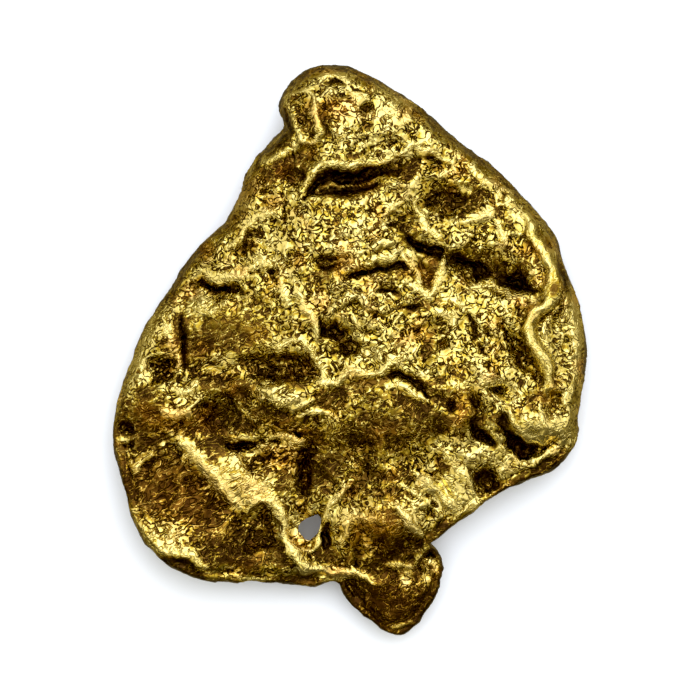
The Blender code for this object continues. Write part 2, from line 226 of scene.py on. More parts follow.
# The brown film, with painted shade: bareness is 1 on clean crests, 0 under a thick film and less
# in the slots, black with film, dirt and painted shade
FILM_STOPS = (-0.6, -0.1, 0.25, 0.5, 0.75, 1.0)   # bareness at each of the film's colours
BARE_LEVEL = 0.40         # bareness of open ground
FILM_FLOOR = -0.20        # bareness goes no lower than this outside the slots
SLOT_DARK = 0.36          # and this much lower at the bottom of the slots, as painted shade
PIT_REACH, PIT_DEPTH, PIT_FILM = 2, 0.030, 0.22            # small pits: cells, depth, film
HOLLOW_REACH, HOLLOW_DEPTH, HOLLOW_FILM = 10, 0.30, 0.20   # broad hollows: the same
VALLEY_FILM = 0.75        # pit depths that a valley of the grain counts for
SLOT_FILM_AND_SHADE = 0.70          # film and painted shade at the bottom of a slot
CREST_BARE = 0.70         # and what is rubbed off the top of a lip
SHORE_FILM_AND_SHADE = (0.27, 0.50)        # film and painted shade on the outer band, and how wide that is
PATCH_WANDER = (0.30, 0.9)        # how far and how slowly the patches of film, painted shade and painted highlight stray
UNDER_FADE = 0.8          # the patches give way to an even film this far below the rim
UNDER_FILM = 0.12         # and how thick that one is
FILM_CALM = 2.0           # how soon thick film smooths the speckle away
CRINKLE_HIGHLIGHT_AND_SHADE = 1.0        # bareness from the line between folds to their tops: painted shade in the line, painted highlight on the tops
CRINKLE_MIDDLE = 0.8      # share of the fold's height at which it adds nothing
GRIT_HIGHLIGHT_AND_SHADE = 0.7           # bareness from the lowest grit to the highest, as painted shade and painted highlight
FLECK_SIZE = 0.16         # painted glints, thin bright folds across the dark film, lie about half of this apart
FLECK_TWIST = 0.6         # how much their noise twists
FLECK_LINE = 0.028        # how far from its middle value the noise leaves a fleck's line
FLECK_GLINT = 0.62         # bareness that a fleck adds as a painted glint
STAIN_HAZE = (0.45, 0.9)  # iron stain everywhere, in soft clouds: strength and size

# The world's light: aim, full inside and gone outside these angles in degrees, colour, radiance
LIGHT_LOBES = (
    ((0.0, 0.0, 1.0), 0, 180, "F0DC98", 0.30),
    ((0.0, 0.0, 1.0), 6, 30, "FFFCF4", 1.90),
    ((0.22, 0.68, 0.70), 24, 42, "FFFBF2", 1.65),
    ((-0.82, 0.10, 0.50), 20, 38, "FFF6DC", 0.98),
    ((0.82, -0.05, 0.50), 20, 38, "FFF6DC", 0.90),
    ((-0.20, -0.75, 0.55), 12, 26, "FFF0B8", 0.76),
    ((0.0, 0.4, -0.9), 35, 100, "F0D888", 0.38),
)
BLACK_LEVEL = 0.002       # light below this shows as black
LAMP_PLACE = (2.0, 14.0, 70.0)   # the floor's lamp, up and behind, in millimetres
SENSOR_WIDTH = 36         # width of the camera's sensor, in millimetres
CLIP_RANGE = (0.01, 10)   # nearest and furthest distance that the camera sees, in metres
FLOOR_ROUGHNESS = 0.9     # matt, with hardly any shine
FLOOR_SHINE = 0.1

# Rounded crests and, where the height is negative, soft troughs: height, half-width and path
ROLLS = {
    # Knob and crease
    "knob_groove": (-0.08, 0.12, ((-0.60, 6.97), (-0.66, 6.41), (-0.60, 5.71))),
    # Upper right
    "upper_spur": (0.18, 0.18, ((2.62, 2.44), (2.81, 2.63), (2.98, 2.86), (3.12, 3.11), (3.49, 3.33))),
    # Right
    "right_dent": (-0.50, 0.42, (
        (2.76, 2.63), (3.15, 2.44), (3.60, 2.27), (4.02, 2.07), (4.44, 1.90), (4.83, 1.79), (5.19, 1.65))),
    "right_roll": (0.34, 0.21, (
        (5.00, 3.75), (5.14, 3.28), (5.39, 2.91), (5.56, 2.55), (5.73, 2.27), (5.75, 1.93), (5.61, 1.60),
        (5.42, 1.32), (5.19, 1.06), (5.08, 0.81), (5.05, 0.48), (5.19, 0.11), (5.36, -0.22),
        (5.53, -0.53), (5.56, -0.87), (5.53, -1.20), (5.61, -1.37))),
    "roll_valley": (-0.28, 0.20, (
        (4.21, 0.76), (4.38, 0.48), (4.58, 0.11), (4.77, -0.14), (5.00, -0.42), (5.25, -0.67),
        (5.47, -0.95))),
    "edge_fold_a": (0.06, 0.07, (
        (5.81, 2.44), (5.92, 1.79), (5.81, 1.23), (5.56, 0.76), (5.50, 0.31), (5.67, -0.20))),
    "edge_fold_b": (0.06, 0.07, ((6.06, 1.93), (6.09, 1.23), (5.92, 0.67), (5.87, 0.11), (6.01, -0.48))),
    # Centre
    "centre_swell": (0.10, 0.16, ((0.63, 2.77), (0.99, 2.88), (1.55, 2.88))),
    "valley_floor": (-0.18, 0.28, ((1.97, 2.63), (2.11, 2.16), (2.25, 1.65))),
    "centre_arch": (0.16, 0.13, (
        (-0.55, 1.04), (-0.32, 1.29), (-0.13, 1.46), (0.10, 1.57), (0.32, 1.57), (0.52, 1.46),
        (0.66, 1.34), (0.88, 1.23), (1.22, 1.23))),
    # Left upper
    "leaf_bank": (0.14, 0.26, ((-4.47, 1.26), (-3.91, 1.29), (-3.35, 1.20))),
    "left_spine": (0.12, 0.09, (
        (-4.49, 1.15), (-4.58, 0.87), (-4.44, 0.56), (-4.52, 0.25), (-4.38, -0.03), (-4.47, -0.31),
        (-4.33, -0.53))),
    # Bottom
    "ridge_flank": (0.16, 0.50, (
        (-4.02, -2.72), (-3.60, -3.11), (-3.18, -3.53), (-2.79, -3.89), (-2.34, -4.06))),
    "east_groove": (-0.10, 0.14, ((2.25, -3.95), (2.53, -4.28), (2.87, -4.65))),
    "lower_trough": (-0.16, 0.80, ((-6.20, -3.33), (-5.17, -3.67), (-4.05, -4.37), (-2.93, -5.01))),
    "stem_hollow": (-0.46, 0.32, ((-1.05, -2.77), (-1.22, -3.25), (-1.30, -3.67), (-1.22, -4.06))),
    "middle_gully": (-0.14, 0.16, ((0.55, -2.77), (0.55, -3.25), (0.57, -3.84))),
    "wedge_gully": (-0.14, 0.12, ((2.20, -3.28), (2.53, -3.72), (2.87, -4.17))),
}

# Sharp-topped crests and lips: height, half-width and path
LIPS = {
    # Knob and crease
    "knob_kidney_rim": (0.18, 0.09, (
        (-1.83, 6.64), (-1.75, 7.03), (-1.39, 7.20), (-1.08, 7.14), (-0.88, 6.75), (-0.83, 6.38),
        (-0.94, 5.96), (-1.16, 5.68), (-1.41, 5.80), (-1.50, 6.19), (-1.69, 6.58))),
    "knob_top_lip": (0.08, 0.11, ((-0.88, 7.53), (-0.55, 7.64), (-0.21, 7.64), (0.10, 7.53))),
    "knob_right_lip": (0.08, 0.10, ((0.04, 7.20), (0.29, 7.06), (0.60, 6.97))),
    "knob_ring": (0.06, 0.08, (
        (1.13, 6.64), (1.22, 6.83), (1.41, 6.92), (1.61, 6.83), (1.69, 6.64), (1.61, 6.44), (1.41, 6.36),
        (1.22, 6.44), (1.13, 6.64))),
    "knob_neck_ridge": (0.12, 0.12, ((-2.45, 5.15), (-2.09, 5.29), (-1.67, 5.49), (-1.44, 5.66))),
    "neck_fork": (0.08, 0.08, ((-1.53, 4.96), (-1.30, 4.70), (-0.88, 5.01))),
    "crease_lip": (0.16, 0.12, (
        (-1.22, 4.62), (-1.02, 4.90), (-0.83, 5.10), (-0.49, 5.21), (0.01, 5.15), (0.38, 5.12),
        (0.85, 5.12), (1.27, 5.21), (1.53, 5.32))),
    "crease_tongue": (0.30, 0.09, (
        (-0.88, 4.45), (-0.74, 4.62), (-0.49, 4.70), (-0.13, 4.68), (0.18, 4.62), (0.60, 4.68),
        (1.02, 4.79))),
    # Upper right
    "arch_outer": (0.09, 0.09, (
        (1.47, 5.29), (1.61, 5.57), (1.81, 5.74), (2.03, 5.82), (2.25, 5.77), (2.39, 5.60))),
    "arch_inner": (0.09, 0.09, (
        (1.92, 5.66), (2.25, 5.54), (2.53, 5.40), (2.79, 5.29), (2.98, 5.10), (3.12, 4.90))),
    "rib_a": (0.08, 0.09, ((2.48, 4.79), (2.62, 4.98), (2.87, 5.07))),
    "rib_b": (0.08, 0.09, ((2.95, 4.79), (3.23, 4.56), (3.49, 4.45))),
    "rib_c": (0.08, 0.10, ((1.97, 4.96), (1.95, 4.73), (1.69, 4.56), (1.58, 4.37))),
    "rib_d": (0.10, 0.10, (
        (1.75, 4.31), (1.83, 4.03), (2.06, 3.75), (2.14, 3.47), (2.34, 3.19), (2.56, 2.97))),
    "rib_e": (0.08, 0.10, ((3.43, 5.15), (3.65, 4.79), (3.93, 4.65), (4.19, 4.65))),
    "pit_ring": (0.05, 0.06, (
        (4.07, 4.31), (4.19, 4.51), (4.41, 4.48), (4.52, 4.28), (4.38, 4.09), (4.16, 4.12), (4.07, 4.31))),
    "spur_crest": (0.12, 0.12, ((3.23, 3.56), (3.65, 3.67), (3.93, 3.84), (4.02, 3.98))),
    "rib_f": (0.10, 0.10, ((4.02, 3.78), (4.21, 3.47), (4.30, 3.19), (4.49, 2.88))),
    # Right
    "dent_lip": (0.10, 0.10, (
        (3.18, 1.90), (3.51, 1.85), (3.99, 1.85), (4.35, 1.65), (4.63, 1.43), (4.94, 1.29))),
    "right_edge_line": (0.10, 0.10, (
        (6.17, 1.79), (6.31, 1.37), (6.40, 0.81), (6.45, -0.03), (6.40, -0.45), (6.23, -0.81))),
    "hill_edge": (0.14, 0.10, (
        (4.27, -1.76), (4.44, -1.62), (4.58, -1.88), (4.77, -2.27), (5.08, -2.49), (5.47, -2.55),
        (5.78, -2.49))),
    "hill_fork": (0.09, 0.08, ((5.33, -1.43), (5.39, -1.85), (5.50, -2.21), (5.70, -2.41))),
    "hill_outer_edge": (0.10, 0.08, ((6.29, -0.76), (6.17, -1.15), (6.06, -1.43), (6.20, -1.76))),
    "slit_bank": (0.14, 0.10, ((3.88, -2.21), (4.05, -2.44), (4.21, -2.72), (4.44, -2.88))),
    "pit_bank": (0.08, 0.08, ((3.15, -3.39), (3.37, -3.72), (3.49, -4.00), (3.65, -4.23))),
    "foot_facet": (0.08, 0.08, ((4.13, -3.64), (4.35, -3.25), (4.58, -2.97), (4.91, -3.16))),
    "foot_bank": (0.10, 0.14, ((5.05, -3.05), (5.47, -2.97), (5.84, -2.80))),
    # Centre
    "centre_slot_lip": (0.12, 0.09, (
        (0.46, 2.32), (0.74, 2.55), (1.13, 2.60), (1.41, 2.77), (1.50, 2.60), (1.61, 2.44), (1.75, 2.30),
        (1.86, 2.07))),
    "basin_rim": (0.08, 0.08, ((1.02, 3.75), (1.27, 4.00), (1.53, 4.14))),
    "valley_left": (0.12, 0.11, ((1.64, 2.77), (1.86, 2.35), (2.00, 1.99), (2.20, 1.65), (2.31, 1.54))),
    "valley_right": (0.12, 0.11, ((2.67, 2.60), (2.56, 2.16), (2.45, 1.74), (2.37, 1.54))),
    "valley_foot": (0.10, 0.11, ((1.50, 1.82), (1.83, 1.71), (2.06, 1.57), (2.25, 1.46), (2.45, 1.76))),
    "rib_g": (0.10, 0.10, ((0.10, 1.04), (0.15, 0.81), (0.21, 0.62))),
    "rib_h": (0.12, 0.11, (
        (2.28, 1.09), (2.48, 0.98), (2.67, 0.87), (2.90, 0.64), (2.98, 0.87), (3.04, 1.12))),
    "rib_i": (0.12, 0.11, ((2.65, 1.65), (2.84, 1.46), (3.07, 1.32), (3.40, 1.06))),
    "plateau_front": (0.16, 0.13, (
        (-1.39, 0.31), (-1.05, -0.03), (-0.88, -0.36), (-0.71, -0.70), (-0.77, -0.95), (-0.49, -0.95),
        (-0.18, -0.81), (0.07, -0.64), (0.41, -0.62), (0.74, -0.67), (1.02, -0.45), (1.30, -0.25),
        (1.64, -0.20))),
    "front_lip": (0.07, 0.11, (
        (0.99, -1.04), (1.41, -1.01), (1.75, -1.18), (2.03, -1.37), (2.31, -1.46))),
    "front_apron": (0.05, 0.13, (
        (1.83, -0.59), (2.20, -0.76), (2.45, -0.98), (2.81, -1.06), (3.09, -1.04))),
    # Left upper
    "nw_ridge": (0.12, 0.12, (
        (-2.00, 3.98), (-2.28, 3.78), (-2.65, 3.58), (-2.84, 3.39), (-2.98, 3.22), (-3.23, 3.02),
        (-3.35, 2.86))),
    "nw_bench": (0.08, 0.14, ((-2.65, 2.44), (-2.37, 2.46), (-2.09, 2.32))),
    "leaf_upper": (0.12, 0.10, (
        (-4.05, 2.02), (-3.57, 2.04), (-3.07, 2.04), (-2.79, 2.21), (-2.62, 2.32))),
    "rib_j": (0.10, 0.10, ((-1.95, 2.07), (-1.92, 1.79), (-1.81, 1.46), (-1.64, 1.26))),
    "rib_k": (0.12, 0.12, ((-1.47, 1.85), (-1.30, 1.23), (-1.11, 1.01), (-0.91, 0.76), (-0.88, 0.25))),
    "mid_arch": (0.10, 0.10, ((-1.95, -0.08), (-1.86, 0.17), (-1.69, 0.31), (-1.44, 0.25))),
    "mid_crescent": (0.14, 0.10, (
        (-2.00, -1.48), (-1.75, -1.60), (-1.44, -1.65), (-1.19, -1.54), (-0.94, -1.34))),
    "mid_facet": (0.10, 0.12, ((-2.56, -1.23), (-2.28, -1.18), (-1.95, -1.32))),
    # Left lower
    "west_bit_a": (0.10, 0.10, ((-5.39, 0.45), (-5.17, 0.62), (-4.94, 0.73))),
    "west_bit_b": (0.10, 0.12, ((-6.01, -0.50), (-5.59, -0.34), (-5.36, -0.25))),
    "west_rib": (0.12, 0.10, ((-4.97, 0.11), (-4.83, -0.17), (-4.75, -0.45), (-4.58, -0.62))),
    "west_lobe": (0.14, 0.14, ((-5.03, -0.98), (-4.69, -1.09), (-4.41, -1.04), (-4.16, -0.87))),
    "west_crescent": (0.14, 0.12, (
        (-5.31, -1.57), (-5.03, -1.71), (-4.75, -1.76), (-4.47, -1.60), (-4.19, -1.34))),
    "west_nick_lip": (0.10, 0.08, ((-6.51, -2.55), (-6.23, -2.60), (-5.98, -2.46))),
    "west_chevron": (0.12, 0.10, (
        (-6.23, -3.14), (-6.06, -3.30), (-5.87, -3.28), (-5.64, -3.05), (-5.47, -2.74))),
    "pit_arc": (0.08, 0.06, ((-3.21, -1.32), (-3.01, -1.54), (-2.84, -1.74), (-2.59, -1.93))),
    "slit_lip_a": (0.12, 0.10, ((-3.15, -2.46), (-2.79, -2.41), (-2.56, -2.46), (-2.34, -2.38))),
    "slit_lip_b": (0.12, 0.10, (
        (-2.34, -2.46), (-1.95, -2.49), (-1.53, -2.58), (-1.25, -2.72), (-1.08, -2.80))),
    "small_arc": (0.08, 0.08, ((-1.39, -1.88), (-1.05, -1.74), (-0.69, -1.76), (-0.43, -1.90))),
    # Bottom
    "lower_ridge": (0.24, 0.16, (
        (-4.69, -2.38), (-4.61, -2.66), (-4.41, -2.91), (-4.13, -3.19), (-3.85, -3.44), (-3.63, -3.72),
        (-3.40, -4.00), (-3.15, -4.34), (-2.87, -4.62))),
    "hole_arc": (0.32, 0.16, (
        (-2.90, -4.62), (-2.65, -4.40), (-2.37, -4.23), (-2.11, -4.31), (-1.95, -4.54), (-1.95, -4.73),
        (-1.97, -4.98), (-1.86, -5.29), (-1.67, -5.54), (-1.44, -5.74), (-1.36, -5.96), (-1.16, -6.16),
        (-0.83, -6.27), (-0.27, -6.33), (0.07, -6.27), (0.43, -6.38), (0.91, -6.61))),
    "hole_ring": (0.20, 0.10, (
        (-1.50, -5.71), (-1.25, -5.60), (-0.99, -5.52), (-0.83, -5.35), (-0.74, -5.07), (-0.66, -4.79),
        (-0.60, -4.45), (-0.49, -4.26), (-0.32, -4.00), (-0.15, -3.81), (0.18, -3.64))),
    "gap_rib": (0.14, 0.11, ((0.15, -4.62), (0.04, -4.93), (-0.07, -5.21), (-0.24, -5.57))),
    "dome_crest": (0.10, 0.12, ((0.15, -4.73), (0.43, -4.76), (0.74, -4.73), (0.97, -4.56))),
    "dome_foot": (0.08, 0.08, ((0.91, -5.99), (1.19, -5.96), (1.47, -6.02), (1.86, -6.10))),
    "east_lip": (0.16, 0.12, (
        (1.36, -4.23), (1.47, -4.45), (1.64, -4.68), (1.72, -4.93), (1.92, -5.10), (2.23, -5.21))),
    "east_line": (0.10, 0.08, ((1.27, -3.67), (1.55, -3.86), (1.83, -4.00), (2.00, -4.26))),
    "tail_rim": (0.12, 0.10, ((1.13, -7.78), (1.47, -7.70), (1.81, -7.62))),
    "notch_rib": (0.08, 0.06, ((2.28, -5.43), (2.09, -5.60), (1.95, -5.77), (1.89, -5.99))),
    "low_left_rim": (0.32, 0.24, (
        (-6.20, -4.23), (-6.01, -4.59), (-5.81, -5.01), (-5.61, -5.32), (-5.39, -5.57), (-5.08, -5.71),
        (-4.75, -5.77), (-4.38, -5.88), (-4.07, -6.13), (-3.82, -6.36))),
    "low_rim_line": (0.08, 0.08, ((-3.57, -6.38), (-3.07, -6.41), (-2.65, -6.36), (-2.28, -6.38))),
    "wedge_rib_a": (0.12, 0.13, (
        (1.89, -3.33), (2.17, -3.67), (2.42, -3.98), (2.73, -4.28), (3.04, -4.59))),
    "wedge_rib_b": (0.10, 0.13, ((2.56, -2.77), (2.87, -3.16), (3.18, -3.56), (3.49, -3.95))),
}

# Steep-walled slots and slits: depth, half-width and path
SLOTS = {
    # Knob and crease
    "knob_top_pits": (0.14, 0.10, ((-0.71, 7.39), (-0.41, 7.42), (-0.07, 7.42))),
    "knob_right_slit": (0.16, 0.09, ((0.27, 6.83), (0.46, 6.78), (0.66, 6.83))),
    "crease_upper": (0.46, 0.20, (
        (-1.22, 4.28), (-0.99, 4.59), (-0.69, 4.79), (-0.21, 4.84), (0.29, 4.82), (0.85, 4.90),
        (1.30, 5.07), (1.58, 5.21))),
    "crease_lower": (0.32, 0.17, (
        (-0.88, 4.40), (-0.55, 4.48), (-0.13, 4.51), (0.35, 4.54), (0.85, 4.65))),
    # Right
    "slit_a": (0.12, 0.07, ((3.37, 1.04), (3.46, 0.64), (3.51, 0.25))),
    "slit_b": (0.12, 0.06, ((3.79, 0.53), (3.93, 0.36), (4.07, 0.20))),
    "slit_c": (0.12, 0.06, ((3.60, 0.20), (3.77, 0.00), (3.93, -0.17))),
    "hill_crease": (0.30, 0.17, (
        (4.33, -1.88), (4.47, -2.21), (4.66, -2.60), (4.97, -2.83), (5.47, -2.66), (5.89, -2.52))),
    "hill_slit": (0.28, 0.12, ((3.43, -1.93), (3.65, -2.21), (3.88, -2.49), (4.19, -2.74))),
    "dent_slit_a": (0.14, 0.16, ((2.81, 2.60), (3.21, 2.52), (3.65, 2.32), (4.10, 2.10))),
    "dent_slit_b": (0.13, 0.15, ((4.27, 2.04), (4.66, 1.85), (5.17, 1.57))),
    # Centre
    "centre_slot": (0.26, 0.10, (
        (-0.13, 1.96), (0.29, 2.13), (0.71, 2.24), (1.13, 2.32), (1.47, 2.35), (1.72, 2.27))),
    "dark_channel": (0.30, 0.14, ((1.55, 3.11), (1.83, 2.97), (2.11, 2.86), (2.45, 2.77), (2.70, 2.69))),
    "slit_d": (0.14, 0.08, ((0.77, 1.71), (1.02, 1.62), (1.30, 1.48))),
    "slit_e": (0.12, 0.07, ((1.39, 1.26), (1.72, 1.18), (1.92, 1.18))),
    "crack": (0.14, 0.07, ((-0.83, 0.95), (-0.69, 0.67), (-0.52, 0.31))),
    "front_slot": (0.20, 0.10, (
        (1.08, -0.76), (1.41, -0.62), (1.69, -0.76), (1.97, -1.01), (2.25, -1.32))),
    "front_nick": (0.12, 0.06, ((2.81, -1.34), (2.79, -1.76))),
    # Left upper
    "nw_slit": (0.14, 0.06, ((-1.81, 4.06), (-1.78, 3.58))),
    "nw_nick_a": (0.10, 0.06, ((-2.79, 2.16), (-2.45, 2.16))),
    "nw_nick_b": (0.10, 0.06, ((-2.25, 2.13), (-2.06, 2.18))),
    "leaf_slot": (0.28, 0.13, (
        (-4.41, 1.79), (-4.05, 1.88), (-3.63, 1.76), (-3.21, 1.68), (-2.87, 1.54))),
    "spine_slot": (0.14, 0.13, (
        (-4.63, 1.01), (-4.72, 0.67), (-4.58, 0.34), (-4.72, -0.03), (-4.55, -0.34), (-4.61, -0.67))),
    # Left lower
    "left_slit": (0.26, 0.11, ((-3.54, -2.69), (-3.07, -2.63), (-2.65, -2.58), (-2.37, -2.46))),
    "mid_slit": (0.18, 0.08, ((-1.61, -2.35), (-1.39, -2.38), (-1.19, -2.52))),
    # Bottom
    "gap_slot": (0.22, 0.13, ((-0.63, -5.49), (-0.57, -5.15), (-0.49, -4.84))),
    "notch_slot": (0.20, 0.10, ((2.06, -5.77), (2.25, -5.68), (2.45, -5.60))),
}

# Knolls and, where the height is negative, hollows: height, centre, half-axes and turn in degrees
KNOLLS = {
    "knob": (0.26, (-0.13, 6.64), (1.62, 1.12), 20),
    "kidney_floor": (-0.14, (-1.30, 6.50), (0.56, 0.25), -80),
    "knob_pit_a": (-0.10, (-0.13, 7.08), (0.17, 0.14), 0),
    "knob_pit_b": (-0.09, (1.97, 6.24), (0.17, 0.11), -20),
    "knob_pit_c": (-0.09, (1.02, 5.71), (0.17, 0.11), 0),
    "knob_pit_d": (-0.09, (0.46, 5.85), (0.14, 0.11), 0),
    "knob_hollow": (-0.22, (-1.30, 5.43), (0.39, 0.25), 10),
    "neck_hollow": (-0.18, (-1.47, 4.87), (0.31, 0.25), 0),
    "arch_basin": (-0.17, (2.25, 5.21), (0.73, 0.25), -8),
    "north_hollow": (-0.40, (2.70, 4.23), (0.95, 0.48), -6),
    "north_deep_a": (-0.08, (3.12, 4.17), (0.25, 0.17), 0),
    "north_deep_b": (-0.06, (2.34, 4.14), (0.22, 0.17), 0),
    "north_deep_c": (-0.06, (2.84, 3.89), (0.25, 0.14), 0),
    "ring_pit": (-0.10, (4.30, 4.31), (0.14, 0.14), 0),
    "dent_brow": (-0.14, (4.07, 2.58), (0.84, 0.31), -22),
    "edge_basin": (-0.20, (5.89, 0.64), (0.90, 0.25), -80),
    "edge_deep": (-0.14, (5.39, 0.98), (0.25, 0.17), 40),
    "smooth_patch": (0.12, (3.88, -0.81), (0.42, 0.31), -30),
    "black_hole": (-0.42, (4.21, -1.18), (0.28, 0.20), -15),
    "roll_foot": (-0.20, (5.78, -1.34), (0.25, 0.20), 0),
    "hill": (0.20, (5.25, -2.07), (0.67, 0.36), -10),
    "hill_pocket": (-0.10, (5.81, -1.60), (0.28, 0.17), 0),
    "gully_blob": (-0.26, (3.63, -1.68), (0.42, 0.22), -70),
    "edge_pit": (-0.42, (3.88, -3.64), (0.36, 0.31), -75),
    "east_block": (0.12, (3.04, -2.77), (0.48, 0.34), -60),
    "centre_hollow": (-0.24, (-0.46, 2.46), (0.45, 0.20), 0),
    "brown_basin": (-0.22, (1.53, 3.72), (0.45, 0.31), 60),
    "arch_dome": (0.08, (0.07, 0.84), (0.45, 0.36), 0),
    "blob": (0.12, (-0.46, 1.85), (0.20, 0.20), 0),
    "south_pit_a": (-0.38, (-0.35, 0.50), (0.34, 0.28), -60),
    "south_pit_b": (-0.34, (0.01, 0.03), (0.31, 0.25), 0),
    "east_hollow": (-0.16, (2.53, 0.62), (0.34, 0.22), 0),
    "east_nick": (-0.20, (2.67, 0.14), (0.22, 0.11), 0),
    "nw_pit_a": (-0.14, (-3.04, 2.88), (0.22, 0.17), 20),
    "nw_pit_b": (-0.12, (-2.65, 3.19), (0.17, 0.14), 0),
    "nw_pit_c": (-0.08, (-2.03, 3.53), (0.14, 0.11), 0),
    "west_slope": (0.14, (-3.46, 1.04), (1.29, 0.50), 0),
    "west_dip": (-0.14, (-3.46, -0.64), (1.23, 0.39), 0),
    "west_hollow": (-0.34, (-1.92, -0.48), (0.95, 0.45), -6),
    "mid_mound": (0.24, (-1.75, -1.26), (0.78, 0.36), -8),
    "west_notch": (-0.28, (-5.28, -0.64), (0.50, 0.34), 10),
    "west_pit": (-0.42, (-3.46, -1.71), (0.76, 0.53), 0),
    "west_edge_pit": (-0.20, (-6.31, -2.21), (0.20, 0.17), 0),
    "west_low_pit": (-0.14, (-6.15, -2.80), (0.20, 0.14), 0),
    "east_of_ridge": (-0.20, (-2.79, -2.97), (0.84, 0.39), -10),
    "low_hollow": (-0.26, (-2.65, -5.24), (0.62, 0.73), 0),
    "brown_dome": (0.30, (1.02, -4.76), (1.06, 0.67), 0),
    "dome_eye": (-0.12, (1.22, -5.77), (0.17, 0.14), 0),
    "dome_fleck_a": (0.10, (0.55, -5.54), (0.22, 0.11), -25),
    "dome_fleck_b": (0.10, (0.66, -5.88), (0.20, 0.11), 20),
    "east_nook": (-0.14, (2.34, -4.56), (0.20, 0.17), 0),
    "east_wedge": (0.12, (2.20, -3.81), (0.39, 0.34), 0),
    "tail_fleck": (0.10, (2.34, -6.13), (0.31, 0.14), -75),
    "hole_funnel": (-0.22, (-1.08, -4.90), (0.67, 0.42), 62),
    "tail_mound": (0.48, (1.30, -6.86), (1.12, 1.12), 0),
    "low_edge_fill": (0.22, (-2.23, -5.96), (1.68, 0.39), 0),
}
